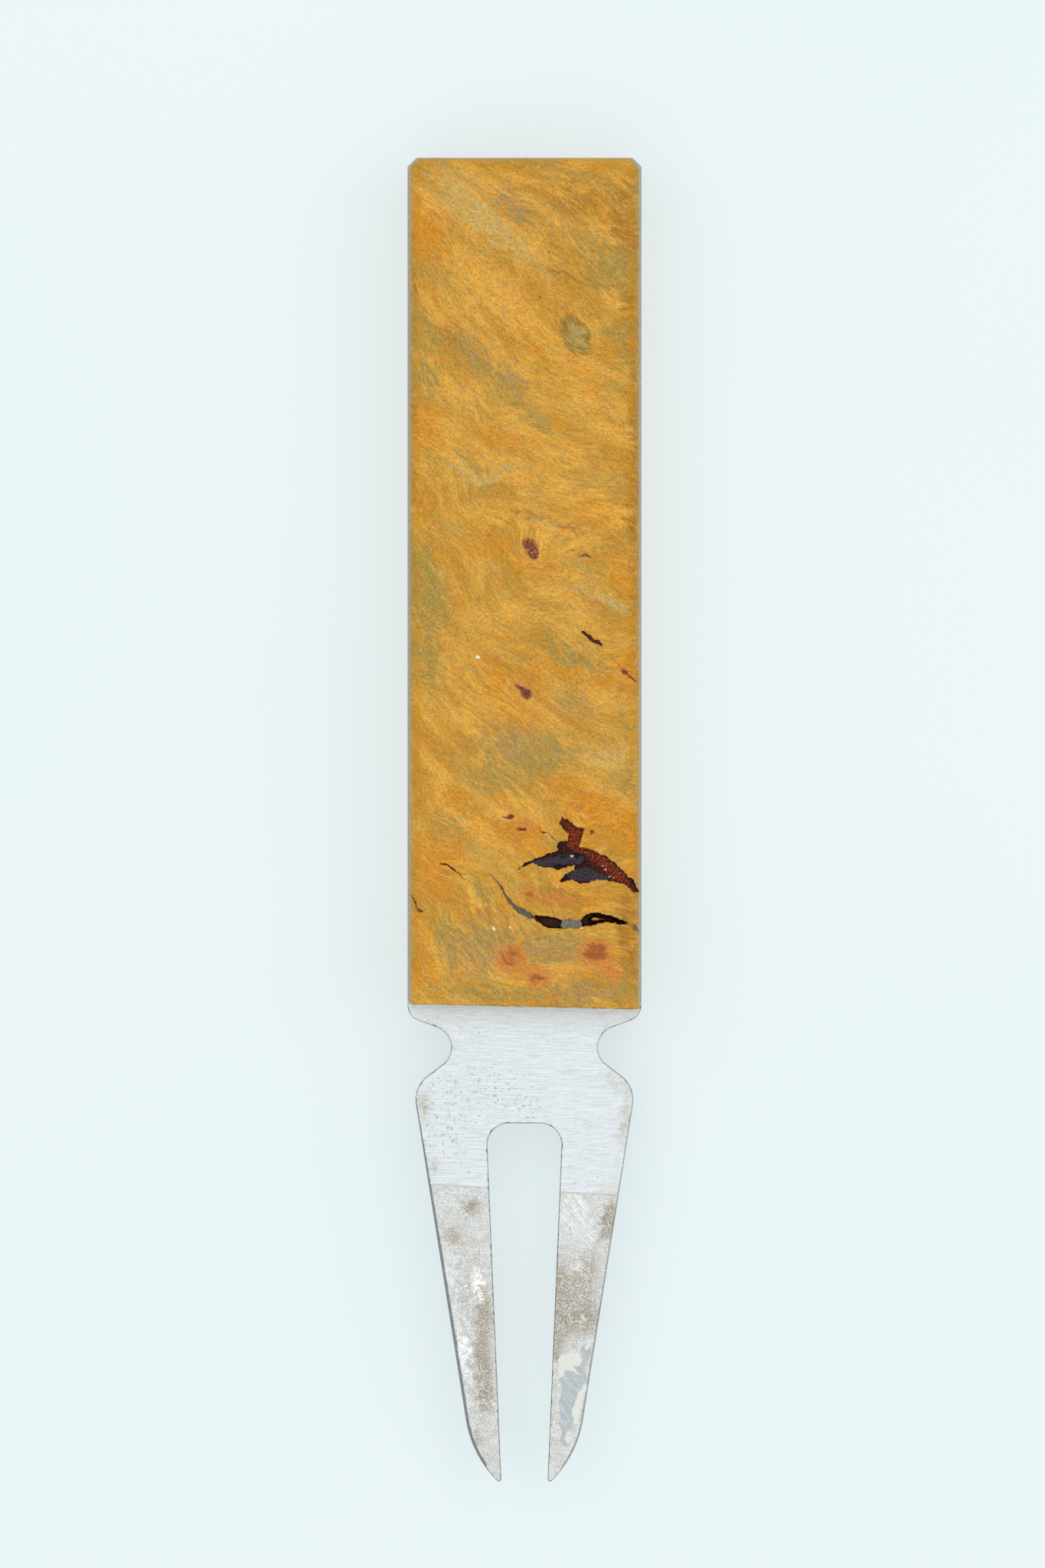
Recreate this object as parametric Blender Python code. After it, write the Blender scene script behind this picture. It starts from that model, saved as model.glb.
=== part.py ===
"""Divot repair tool for golf greens: a flat steel fork with burl wood scales on its tang.

The tool lies on its rear scale. +Z points up through the front scale, +Y points to the butt
of the handle and -Y to the tine tips. The origin is the middle of the tool in X and Y, on the
surface that it lies on. Every size is in metres and every angle in radians.
"""

import math

import bmesh
import bpy
from mathutils import Matrix, Vector

# Overall sizes
TOOL_LENGTH = 0.1079  # butt to tine tips, about 4 1/4 in
HANDLE_WIDTH = 0.01905  # 3/4 in bar stock, ground flush with the scales
FORK_LENGTH = 0.0354  # tine tips to the middle of the neck
PLATE_THICKNESS = 0.0024
SCALE_THICKNESS = 0.0040

# Tang and neck
TANG_BUTT_CHAMFER = 0.0007
TANG_CORNER_RADIUS = 0.0013  # where the tang turns in to the neck
NOTCH_RADIUS = 0.00175  # round bottom of the side notches
NOTCH_LAND = 0.00164  # straight run between the tang corner and the notch
NOTCH_TOP_ANGLE = math.radians(70)  # upper side of a notch, from the long axis
FLANK_ANGLE = math.radians(53)  # lower side of a notch, from the long axis

# Shoulders, tines and slot
SHOULDER_INSET = 0.00045  # unrounded shoulder corner, in from the tang's edge
SHOULDER_RADIUS = 0.0024
TINE_ANGLE = math.radians(9)  # outer edge of a tine, from the long axis
SWEEP_ANGLE = math.radians(45)  # outer edge at the tip, from the long axis
SWEEP_RADIUS = 0.0090
TIP_RADIUS = 0.0002
TIP_GAP = 0.00374  # between the tips' unrounded corners
SLOT_DEPTH = 0.02921
SLOT_TOP_WIDTH = 0.0062
SLOT_CORNER_RADIUS = 0.00174
PLATE_EDGE_BREAK = 0.00015
RAMP_LENGTH = 0.0238  # tines are ground thinner over this length
RAMP_DEPTH = 0.00035  # taken off each face at the tips
RAMP_SKEW = math.radians(-3.4)  # the grind line is not quite square

# Scales
SCALE_INSET = 0.0001  # each scale's side, in from the tang's edge
SCALE_SETBACK = 0.0009  # scale's end, back from the tang's unrounded corner
SCALE_END_SKEW = math.radians(-1.3)
SCALE_BUTT_CHAMFER = 0.00075
SCALE_EASE = 0.0010  # rounding of the outer edges that the hand meets
EASE_SEGMENTS = 4

# Glue, pins and cast fills
GLUE_GAP = 0.0003  # scale to tang, and pin to bore
FILM_THICKNESS = 0.0001  # epoxy in the middle of that gap
FILM_INSET = 0.0002
PIN_RADIUS = 0.0015
PIN_COVER = 0.0013  # wood left between a pin's bore and the scale's outer face
BUTT_PIN_SETBACK = 0.0130  # from the butt
NECK_PIN_SETBACK = 0.0220  # from the scale's lower end, clear of the filled flaws
FILL_GAP = 0.0001  # cast resin to its pocket
POCKET_DEPTH = 0.0016

FILLET_LAND = 0.0002  # least straight run left between two fillets
ROUND_SEGMENTS = 8  # for each fillet of an outline
PIN_SEGMENTS = 32
CUT_MARGIN = 0.0010  # how far a cutter stands out of what it cuts
FLAT_LIMIT = math.radians(0.1)  # faces that meet flatter than this become one

# Heights of the layers
PLATE_BOTTOM = SCALE_THICKNESS + GLUE_GAP
PLATE_TOP = PLATE_BOTTOM + PLATE_THICKNESS
FRONT_BOTTOM = PLATE_TOP + GLUE_GAP
FRONT_TOP = FRONT_BOTTOM + SCALE_THICKNESS

# Places along the tool
BUTT_Y = TOOL_LENGTH / 2
TIP_Y = -TOOL_LENGTH / 2
NECK_Y = TIP_Y + FORK_LENGTH
NOTCH_ARC_RUN = math.tan(NOTCH_TOP_ANGLE / 2)  # a fillet's tangent length over its radius
NOTCH_TOP_RUN = (TANG_CORNER_RADIUS + NOTCH_RADIUS) * NOTCH_ARC_RUN + NOTCH_LAND
NOTCH_DEPTH = NOTCH_TOP_RUN * math.sin(NOTCH_TOP_ANGLE)
NOTCH_TOP_Y = NECK_Y + NOTCH_RADIUS * NOTCH_ARC_RUN
TANG_END_Y = NOTCH_TOP_Y + NOTCH_TOP_RUN * math.cos(NOTCH_TOP_ANGLE)
SCALE_END_Y = TANG_END_Y + SCALE_SETBACK
SCALE_BUTT_Y = BUTT_Y - SCALE_INSET
SCALE_HALF = HANDLE_WIDTH / 2 - SCALE_INSET
PIN_PLACES = {"butt_pin": BUTT_Y - BUTT_PIN_SETBACK, "neck_pin": SCALE_END_Y + NECK_PIN_SETBACK}

# Outlines of the flaws that the maker filled, from the middle of the scale's lower end
BARK_VOID = [
    (0.0008, 0.0117), (0.0018, 0.0123), (0.0028, 0.0127), (0.0029, 0.0134), (0.0036, 0.0139),
    (0.0029, 0.0147), (0.0032, 0.0153), (0.0044, 0.0146), (0.0047, 0.0133), (0.0062, 0.0123),
    (0.0077, 0.0111), (0.0087, 0.0099), (0.0080, 0.0098), (0.0066, 0.0103), (0.0046, 0.0100),
    (0.0037, 0.0106), (0.0042, 0.0113), (0.0026, 0.0111),
]
CRACK = [
    (0.0010, 0.0074), (0.0019, 0.0073), (0.0030, 0.0071), (0.0046, 0.0071), (0.0057, 0.0076),
    (0.0067, 0.0073), (0.0078, 0.0070), (0.0067, 0.0067), (0.0050, 0.0068), (0.0042, 0.0063),
    (0.0030, 0.0062), (0.0020, 0.0063),
]
CRACK_FILL_FROM = 0.0030  # the crack is open on both sides of its fill
CRACK_FILL_TO = 0.0047


def clear_scene():
    """Remove every object of the open scene."""
    for thing in list(bpy.data.objects):
        bpy.data.objects.remove(thing, do_unlink=True)


def new_collection(name):
    """Add a collection to the scene."""
    collection = bpy.data.collections.new(name)
    bpy.context.scene.collection.children.link(collection)
    return collection


def new_material(name, colour, roughness, metallic=0.0):
    """Make a plain Principled material."""
    material = bpy.data.materials.new(name)
    material.use_nodes = True
    shader = material.node_tree.nodes["Principled BSDF"]
    shader.inputs["Base Color"].default_value = (*colour, 1.0)
    shader.inputs["Roughness"].default_value = roughness
    shader.inputs["Metallic"].default_value = metallic
    return material


def add_mesh_object(name, builder, collection, material=None):
    """Turn a finished bmesh into an object with outward normals."""
    bmesh.ops.recalc_face_normals(builder, faces=builder.faces)
    mesh = bpy.data.meshes.new(name)
    builder.to_mesh(mesh)
    builder.free()
    if material:
        mesh.materials.append(material)
    thing = bpy.data.objects.new(name, mesh)
    collection.objects.link(thing)
    return thing


def as_cutter(thing):
    """Mark an object as a cutter, which is no piece of the tool."""
    thing.hide_render = True
    thing.display_type = "WIRE"
    return thing


def boolean(target, cutter, operation="DIFFERENCE"):
    """Add an exact Boolean to a piece."""
    modifier = target.modifiers.new(f"{operation.lower()} {cutter.name}", "BOOLEAN")
    modifier.operation = operation
    modifier.solver = "EXACT"
    modifier.object = cutter


def rounded_outline(corners):
    """Return an outline's points from its corners (x, y, radius), each fillet as an arc."""
    points = []
    for index, (x, y, radius) in enumerate(corners):
        corner = Vector((x, y))
        before = Vector(corners[index - 1][:2]) - corner
        after = Vector(corners[(index + 1) % len(corners)][:2]) - corner
        if radius == 0:
            points.append(corner)
            continue
        before.normalize()
        after.normalize()
        half_angle = before.angle(after) / 2
        centre = corner + (before + after).normalized() * radius / math.sin(half_angle)
        start = corner + before * radius / math.tan(half_angle) - centre
        end = corner + after * radius / math.tan(half_angle) - centre
        turn = start.angle_signed(end)
        for step in range(ROUND_SEGMENTS + 1):
            spin = Matrix.Rotation(-turn * step / ROUND_SEGMENTS, 2)
            points.append(centre + spin @ start)
    return points


def outline_plate(name, points, bottom, top, collection, material=None, edge_break=0.0, grow=0.0):
    """Extrude a flat outline between two heights, with its edges chamfered by edge_break."""
    curve = bpy.data.curves.new(name, "CURVE")
    curve.dimensions = "2D"
    curve.fill_mode = "BOTH"
    curve.extrude = (top - bottom) / 2 - edge_break
    curve.bevel_depth = edge_break
    curve.bevel_resolution = 0
    curve.offset = grow - edge_break
    spline = curve.splines.new("POLY")
    spline.points.add(len(points) - 1)
    for place, (x, y) in zip(spline.points, points):
        place.co = (x, y, 0.0, 1.0)
    spline.use_cyclic_u = True
    outline = bpy.data.objects.new(f"{name}_outline", curve)
    outline.location.z = (bottom + top) / 2
    collection.objects.link(outline)
    bpy.context.view_layer.update()
    builder = bmesh.new()
    evaluated = outline.evaluated_get(bpy.context.evaluated_depsgraph_get())
    mesh = bpy.data.meshes.new_from_object(evaluated)
    builder.from_mesh(mesh)
    builder.transform(outline.matrix_world)
    bpy.data.meshes.remove(mesh)
    bpy.data.objects.remove(outline, do_unlink=True)
    bmesh.ops.remove_doubles(builder, verts=builder.verts, dist=1e-7)
    bmesh.ops.dissolve_limit(
        builder, angle_limit=FLAT_LIMIT, verts=builder.verts, edges=builder.edges
    )
    return add_mesh_object(name, builder, collection, material)


def box(name, low, high, collection, material=None):
    """Make a box between two corners."""
    size = Vector(high) - Vector(low)
    middle = (Vector(high) + Vector(low)) / 2
    builder = bmesh.new()
    bmesh.ops.create_cube(builder, size=1.0)
    bmesh.ops.scale(builder, vec=size, verts=builder.verts)
    bmesh.ops.translate(builder, vec=middle, verts=builder.verts)
    return add_mesh_object(name, builder, collection, material)


def upright_cylinder(name, radius, y, bottom, top, collection, material=None):
    """Make a round pin or cutter that stands on the long axis."""
    builder = bmesh.new()
    bmesh.ops.create_cone(
        builder, cap_ends=True, segments=PIN_SEGMENTS, radius1=radius, radius2=radius,
        depth=top - bottom, matrix=Matrix.Translation((0.0, y, (top + bottom) / 2)),
    )
    cylinder = add_mesh_object(name, builder, collection, material)
    cylinder.data.shade_smooth()
    cylinder.data.set_sharp_from_angle(angle=math.radians(30))
    return cylinder


def line_crossing(point_a, angle_a, point_b, angle_b):
    """Cross two lines, each given by a point and its angle from +Y towards +X."""
    direction_a = Vector((math.sin(angle_a), math.cos(angle_a)))
    direction_b = Vector((math.sin(angle_b), math.cos(angle_b)))
    offset = Vector(point_b) - Vector(point_a)
    along = offset.cross(direction_b) / direction_a.cross(direction_b)
    return Vector(point_a) + direction_a * along


def fork_corners():
    """Return the fork's corners, right half and then its mirror image, as (x, y, radius)."""
    tang = HANDLE_WIDTH / 2
    neck = tang - NOTCH_DEPTH
    shoulder = tang - SHOULDER_INSET
    slot_top = SLOT_TOP_WIDTH / 2
    tip_half_gap = TIP_GAP / 2
    wall_angle = math.atan2(slot_top - tip_half_gap, SLOT_DEPTH)

    # The lowest point of a rounded tip is on the tool's end, so its corner lies below that.
    tip_half_angle = (SWEEP_ANGLE - wall_angle) / 2
    tip_rise = math.cos(wall_angle + tip_half_angle) / math.sin(tip_half_angle) - 1
    tip = (tip_half_gap, TIP_Y - TIP_RADIUS * tip_rise)

    foot_drop = NOTCH_RADIUS * math.tan(FLANK_ANGLE / 2)
    flank_foot = (neck, NECK_Y - foot_drop)
    shoulder_drop = (shoulder - neck) / math.tan(FLANK_ANGLE)
    shoulder_corner = (shoulder, flank_foot[1] - shoulder_drop)
    sweep_corner = line_crossing(shoulder_corner, TINE_ANGLE, tip, SWEEP_ANGLE)

    # The sweep's fillet is no larger than the tip's edge has room for.
    tip_run = TIP_RADIUS / math.tan(tip_half_angle)
    sweep_room = (sweep_corner - Vector(tip)).length - tip_run - FILLET_LAND
    sweep_limit = sweep_room / math.tan((SWEEP_ANGLE - TINE_ANGLE) / 2)

    right = [
        (tang - TANG_BUTT_CHAMFER, BUTT_Y, 0),
        (tang, BUTT_Y - TANG_BUTT_CHAMFER, 0),
        (tang, TANG_END_Y, TANG_CORNER_RADIUS),
        (neck, NOTCH_TOP_Y, NOTCH_RADIUS),
        (*flank_foot, NOTCH_RADIUS),
        (*shoulder_corner, SHOULDER_RADIUS),
        (*sweep_corner, min(SWEEP_RADIUS, sweep_limit)),
        (*tip, TIP_RADIUS),
        (slot_top, TIP_Y + SLOT_DEPTH, SLOT_CORNER_RADIUS),
    ]
    left = [(-x, y, radius) for x, y, radius in reversed(right)]
    return right + left


def ramp_cutter(name, face, side, cutters):
    """Make the block that grinds one face of the tines thinner; side is +1 for the top face."""
    start = TIP_Y + RAMP_LENGTH
    slope = math.atan2(RAMP_DEPTH, RAMP_LENGTH)
    length = RAMP_LENGTH + 2 * CUT_MARGIN
    low = (-HANDLE_WIDTH, -length, 0.0)
    high = (HANDLE_WIDTH, CUT_MARGIN, side * PLATE_THICKNESS)
    block = box(name, low, high, cutters)
    place = Matrix.Translation((0.0, start, face))
    turn = Matrix.Rotation(RAMP_SKEW, 4, "Z") @ Matrix.Rotation(side * slope, 4, "X")
    block.matrix_world = place @ turn
    return as_cutter(block)


def build_fork(pieces, cutters, pin_bores):
    """Build the fork: tang, neck and two thinned tines cut from one plate."""
    steel = new_material("brushed_steel", (0.62, 0.63, 0.65), 0.34, 1.0)
    outline = rounded_outline(fork_corners())
    fork = outline_plate(
        "fork_plate", outline, PLATE_BOTTOM, PLATE_TOP, pieces, steel, PLATE_EDGE_BREAK
    )
    boolean(fork, ramp_cutter("front_ramp", PLATE_TOP, 1, cutters))
    boolean(fork, ramp_cutter("rear_ramp", PLATE_BOTTOM, -1, cutters))
    for bore in pin_bores:
        boolean(fork, bore)


def scale_block(name, inner, outer, collection, material=None):
    """Make a scale's plain body between its glued face and its outer face."""
    low = (-SCALE_HALF, SCALE_END_Y, min(inner, outer))
    high = (SCALE_HALF, SCALE_BUTT_Y, max(inner, outer))
    block = box(name, low, high, collection, material)
    builder = bmesh.new()
    builder.from_mesh(block.data)
    middle_y = (SCALE_END_Y + SCALE_BUTT_Y) / 2
    for vertex in builder.verts:
        if vertex.co.y < middle_y:
            vertex.co.y += vertex.co.x * math.tan(SCALE_END_SKEW)

    upright_butt = []
    for edge in builder.edges:
        first, second = edge.verts
        upright = abs(first.co.z - second.co.z) > SCALE_THICKNESS / 2
        if upright and first.co.y > middle_y:
            upright_butt.append(edge)
    bmesh.ops.bevel(
        builder, geom=upright_butt, offset=SCALE_BUTT_CHAMFER, segments=1, affect="EDGES",
        offset_type="OFFSET", profile=0.5,
    )

    touched = []
    for edge in builder.edges:
        first, second = edge.verts
        on_outer_face = max(abs(first.co.z - outer), abs(second.co.z - outer)) < 1e-7
        at_fork_end = max(first.co.y, second.co.y) < middle_y
        if on_outer_face and not at_fork_end:
            touched.append(edge)
    bmesh.ops.bevel(
        builder, geom=touched, offset=SCALE_EASE, segments=EASE_SEGMENTS, affect="EDGES",
        offset_type="OFFSET", profile=0.5,
    )
    bmesh.ops.recalc_face_normals(builder, faces=builder.faces)
    builder.to_mesh(block.data)
    builder.free()
    block.data.shade_smooth()
    block.data.set_sharp_from_angle(angle=math.radians(35))
    return block


def build_scales(pieces, cutters, pin_bores):
    """Build both scales and the cast fills in the front one."""
    wood = new_material("burl_wood", (0.70, 0.36, 0.08), 0.42)
    front = scale_block("front_scale", FRONT_BOTTOM, FRONT_TOP, pieces, wood)
    rear = scale_block("rear_scale", SCALE_THICKNESS, 0.0, pieces, wood)
    for bore in pin_bores:
        boolean(front, bore)
        boolean(rear, bore)

    resin = new_material("bark_and_resin", (0.10, 0.05, 0.045), 0.35)
    build_fill("bark_void_fill", BARK_VOID, front, pieces, cutters, resin)
    grey_resin = new_material("grey_resin", (0.24, 0.21, 0.20), 0.40)
    fill = build_fill("crack_fill", CRACK, front, pieces, cutters, grey_resin)
    keep_low = (CRACK_FILL_FROM, SCALE_END_Y, FRONT_BOTTOM)
    keep_high = (CRACK_FILL_TO, BUTT_Y, FRONT_TOP + CUT_MARGIN)
    keep = as_cutter(box("crack_fill_stretch", keep_low, keep_high, cutters))
    boolean(fill, keep, "INTERSECT")


def build_fill(name, flaw, scale, pieces, cutters, material):
    """Cut a flaw's pocket in the scale and cast a fill that ends flush with the scale's face."""
    outline = [(x, y + SCALE_END_Y) for x, y in flaw]
    floor = FRONT_TOP - POCKET_DEPTH
    top = FRONT_TOP + CUT_MARGIN
    pocket = as_cutter(outline_plate(f"{name}_pocket", outline, floor, top, cutters))
    boolean(scale, pocket)
    fill = outline_plate(name, outline, floor + FILL_GAP, top, pieces, material, grow=-FILL_GAP)
    envelope = as_cutter(scale_block(f"{name}_limit", FRONT_BOTTOM, FRONT_TOP, cutters))
    boolean(fill, envelope, "INTERSECT")
    return fill


def build_films(pieces, pin_bores):
    """Build the two epoxy films, each in the middle of its glued gap."""
    epoxy = new_material("dark_epoxy", (0.06, 0.045, 0.03), 0.45)
    half = SCALE_HALF - FILM_INSET
    lower_end = SCALE_END_Y + SCALE_HALF * abs(math.tan(SCALE_END_SKEW)) + FILM_INSET
    upper_end = SCALE_BUTT_Y - SCALE_BUTT_CHAMFER
    margin = (GLUE_GAP - FILM_THICKNESS) / 2
    for name, face in (("front_epoxy_film", PLATE_TOP), ("rear_epoxy_film", SCALE_THICKNESS)):
        low = (-half, lower_end, face + margin)
        high = (half, upper_end, face + margin + FILM_THICKNESS)
        film = box(name, low, high, pieces, epoxy)
        for bore in pin_bores:
            boolean(film, bore)


def build_pins(pieces, cutters):
    """Build the blind pins, and return the cutters for the bores that they sit in."""
    brass = new_material("pin_brass", (0.72, 0.50, 0.22), 0.35, 1.0)
    bores = []
    bore_bottom = PIN_COVER
    bore_top = FRONT_TOP - PIN_COVER
    for name, y in PIN_PLACES.items():
        pin_bottom = bore_bottom + GLUE_GAP
        pin_top = bore_top - GLUE_GAP
        upright_cylinder(name, PIN_RADIUS, y, pin_bottom, pin_top, pieces, brass)
        bore_radius = PIN_RADIUS + GLUE_GAP
        bore = upright_cylinder(f"{name}_bore", bore_radius, y, bore_bottom, bore_top, cutters)
        bores.append(as_cutter(bore))
    return bores


def main():
    """Build the whole tool."""
    clear_scene()
    pieces = new_collection("divot_repair_tool")
    cutters = new_collection("cutters")
    pin_bores = build_pins(pieces, cutters)
    build_fork(pieces, cutters, pin_bores)
    build_films(pieces, pin_bores)
    build_scales(pieces, cutters, pin_bores)


main()
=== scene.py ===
"""Looks of a divot repair tool: burl wood scales glued on the tang of a flat steel fork.

Lengths are in millimetres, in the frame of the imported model: X across the tool, +Y to the butt
and +Z up through the front scale. Meshes are made in metres.
"""

from __future__ import annotations

import logging
import math
from dataclasses import dataclass, field
from enum import Enum
from typing import Callable, Sequence

import bmesh
import bpy
import numpy as np
from mathutils import Matrix, Vector, noise
from mathutils.geometry import delaunay_2d_cdt

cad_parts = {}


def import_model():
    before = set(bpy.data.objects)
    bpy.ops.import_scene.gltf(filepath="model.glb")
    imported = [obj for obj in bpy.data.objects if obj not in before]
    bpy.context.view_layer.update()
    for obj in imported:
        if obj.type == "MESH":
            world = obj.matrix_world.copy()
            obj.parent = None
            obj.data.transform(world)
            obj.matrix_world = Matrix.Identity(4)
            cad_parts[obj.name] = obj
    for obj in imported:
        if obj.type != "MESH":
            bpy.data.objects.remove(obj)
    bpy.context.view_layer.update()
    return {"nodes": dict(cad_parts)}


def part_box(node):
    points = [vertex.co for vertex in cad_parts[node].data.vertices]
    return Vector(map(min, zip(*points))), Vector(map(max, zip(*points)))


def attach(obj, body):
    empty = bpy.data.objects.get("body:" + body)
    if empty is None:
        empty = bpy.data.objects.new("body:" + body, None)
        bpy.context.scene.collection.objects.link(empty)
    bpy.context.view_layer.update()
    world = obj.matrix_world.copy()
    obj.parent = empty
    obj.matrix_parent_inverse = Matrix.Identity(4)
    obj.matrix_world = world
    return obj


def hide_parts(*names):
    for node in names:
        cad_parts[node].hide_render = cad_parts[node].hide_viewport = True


LOG = logging.getLogger("divot_repair_tool")
MM = 0.001
ROOT = "root"
ORIGIN = (0.0, 0.0, 0.0)
THROUGH = 1e6  # depth of an oval that shows at every level
TINY = 1e-9  # shortest length that counts
MERGE = 1e-6  # points of a face that lie nearer than this count as one
Socket = bpy.types.NodeSocket
Colour = tuple[float, float, float, float]
Point = tuple[float, float]


def srgb(red: int, green: int, blue: int) -> Colour:
    """Turn a display colour, 0 to 255 a part, into the linear colour that a shader takes."""
    shares = (red / 255, green / 255, blue / 255)
    linear = (s / 12.92 if s <= 0.04045 else ((s + 0.055) / 1.055) ** 2.4 for s in shares)
    return (*linear, 1.0)


# ---------------------------------------------------------------------------
# Node graphs
# ---------------------------------------------------------------------------


class Graph:
    """Short ways to add nodes to one tree and join them."""

    def __init__(self, tree: bpy.types.NodeTree) -> None:
        """Work on a node tree."""
        self.tree = tree

    def add(self, kind: str, *values: object, **settings: object) -> bpy.types.Node:
        """Add a node.

        Args:
            kind: The node's type, without the ShaderNode prefix.
            values: What to feed its inputs, in order; None leaves one as it is.
            settings: Properties to set on it.

        Returns:
            The new node.
        """
        node = self.tree.nodes.new(f"ShaderNode{kind}")
        for name, value in settings.items():
            setattr(node, name, value)
        for socket, value in zip(node.inputs, values):
            self.feed(socket, value)
        return node

    def feed(self, socket: Socket, value: object) -> None:
        """Link a socket to an input, or set the input's own value."""
        if isinstance(value, bpy.types.NodeSocket):
            self.tree.links.new(value, socket)
        elif value is not None:
            socket.default_value = value

    def feed_named(self, node: bpy.types.Node, **values: object) -> bpy.types.Node:
        """Feed a node's inputs by name (a space is written _) and return the node."""
        for name, value in values.items():
            self.feed(node.inputs[name.replace("_", " ")], value)
        return node

    def math(self, operation: str, *values: object) -> Socket:
        """Return the result of a Math node."""
        return self.add("Math", *values, operation=operation).outputs[0]

    def times(self, a: object, b: object) -> Socket:
        """Return a product."""
        return self.math("MULTIPLY", a, b)

    def vector(self, operation: str, *values: object, scale: object = None) -> Socket:
        """Add a Vector Math node.

        Args:
            operation: Its operation.
            values: Its vectors.
            scale: Factor of a SCALE operation.

        Returns:
            Its result: a value for LENGTH, and a vector otherwise.
        """
        node = self.add("VectorMath", *values, operation=operation)
        if scale is not None:
            self.feed(node.inputs["Scale"], scale)
        return node.outputs["Value" if operation == "LENGTH" else "Vector"]

    def join(self, x: object, y: object, z: object) -> Socket:
        """Combine three values into a vector."""
        return self.add("CombineXYZ", x, y, z).outputs[0]

    def split(self, vector: Socket) -> tuple[Socket, ...]:
        """Split a vector into its three values."""
        return tuple(self.add("SeparateXYZ", vector).outputs)

    def turned(self, vector: Socket, angle: Socket) -> Socket:
        """Turn a vector about Z."""
        node = self.add("VectorRotate", rotation_type="Z_AXIS")
        return self.feed_named(node, Vector=vector, Angle=angle).outputs[0]

    def noise_node(self, vector: object, scale: float, detail: float, rough: float) -> bpy.types.Node:
        """Add a noise texture.

        Args:
            vector: Where to read it.
            scale: Its scale.
            detail: Its octaves.
            rough: Strength of the finer octaves.

        Returns:
            The node.
        """
        node = self.add("TexNoise", noise_dimensions="3D")
        return self.feed_named(node, Vector=vector, Scale=scale, Detail=detail, Roughness=rough)

    def noise(self, vector: object, scale: float, detail: float = 2.0, rough: float = 0.5) -> Socket:
        """Return noise as a value, about 0.5 on average."""
        return self.noise_node(vector, scale, detail, rough).outputs["Fac"]

    def drift(self, vector: object, scale: float, detail: float) -> Socket:
        """Return noise as a vector, about (0.5, 0.5, 0.5) on average."""
        return self.noise_node(vector, scale, detail, 0.5).outputs["Color"]

    def shake(self, vector: object, scale: float, detail: float) -> Socket:
        """Return noise as a vector, about zero on average."""
        return self.vector("SUBTRACT", self.drift(vector, scale, detail), (0.5, 0.5, 0.5))

    def span(
        self, value: object, low: float, high: float, to_low: float = 0.0, to_high: float = 1.0
    ) -> Socket:
        """Map a range smoothly to another.

        Args:
            value: What to map.
            low: Start of its range.
            high: End of its range.
            to_low: Result at low.
            to_high: Result at high.

        Returns:
            The mapped value, clamped to the new range.
        """
        values = (value, low, high, to_low, to_high)
        return self.add("MapRange", *values, interpolation_type="SMOOTHSTEP").outputs[0]

    def mix(self, factor: object, a: object, b: object, blend: str = "MIX") -> Socket:
        """Mix two colours.

        Args:
            factor: Share of b.
            a: First colour.
            b: Second colour.
            blend: How to mix.

        Returns:
            The mixed colour.
        """
        node = self.add("Mix", factor, data_type="RGBA", blend_type=blend, clamp_factor=True)
        for socket, colour in zip((s for s in node.inputs if s.type == "RGBA"), (a, b)):
            self.feed(socket, colour)
        return next(s for s in node.outputs if s.type == "RGBA")

    def attribute(self, name: str) -> Socket:
        """Read a value stored on a mesh's points."""
        return self.add("Attribute", attribute_type="GEOMETRY", attribute_name=name).outputs["Fac"]

    def group(self, tree: bpy.types.NodeTree, **values: object) -> bpy.types.Node:
        """Place a group in the tree, with its inputs by name."""
        return self.feed_named(self.add("Group", node_tree=tree), **values)


class SocketKind(Enum):
    """What an output of a node group carries."""

    VALUE = "NodeSocketFloat"
    VECTOR = "NodeSocketVector"


class GroupTree:
    """A shader node group with named inputs and outputs."""

    def __init__(self, name: str, inputs: dict[str, object], outputs: dict[str, SocketKind]) -> None:
        """Make the group's interface.

        Args:
            name: The group's name.
            inputs: Each input's name and default; a tuple makes a vector input.
            outputs: Each output's name and kind.
        """
        self.tree = bpy.data.node_groups.new(name, "ShaderNodeTree")
        for label, default in inputs.items():
            kind = SocketKind.VECTOR if isinstance(default, tuple) else SocketKind.VALUE
            socket = self.tree.interface.new_socket(label, in_out="INPUT", socket_type=kind.value)
            socket.default_value = default
        for label, kind in outputs.items():
            self.tree.interface.new_socket(label, in_out="OUTPUT", socket_type=kind.value)
        self.graph = Graph(self.tree)
        self.given = self.tree.nodes.new("NodeGroupInput").outputs
        self.result = self.tree.nodes.new("NodeGroupOutput")

    def give(self, **sockets: Socket) -> bpy.types.NodeTree:
        """Link results to the group's outputs by name and return the group."""
        self.graph.feed_named(self.result, **sockets)
        return self.tree


def patch_group() -> bpy.types.NodeTree:
    """Build a soft oval mask, 1 at its centre.

    Returns:
        The group, with inputs Position, Centre, Size and Turn, and output Mask.
    """
    inputs = {"Position": ORIGIN, "Centre": ORIGIN, "Size": (1.0, 1.0, 1.0), "Turn": 0.0}
    made = GroupTree("Soft oval", inputs, {"Mask": SocketKind.VALUE})
    graph, given = made.graph, made.given
    offset = graph.vector("SUBTRACT", given["Position"], given["Centre"])
    shrunk = graph.vector("DIVIDE", graph.turned(offset, given["Turn"]), given["Size"])
    distance = graph.vector("LENGTH", shrunk)
    fall = graph.times(graph.times(distance, distance), -1.0)
    return made.give(Mask=graph.math("EXPONENT", fall))


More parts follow.
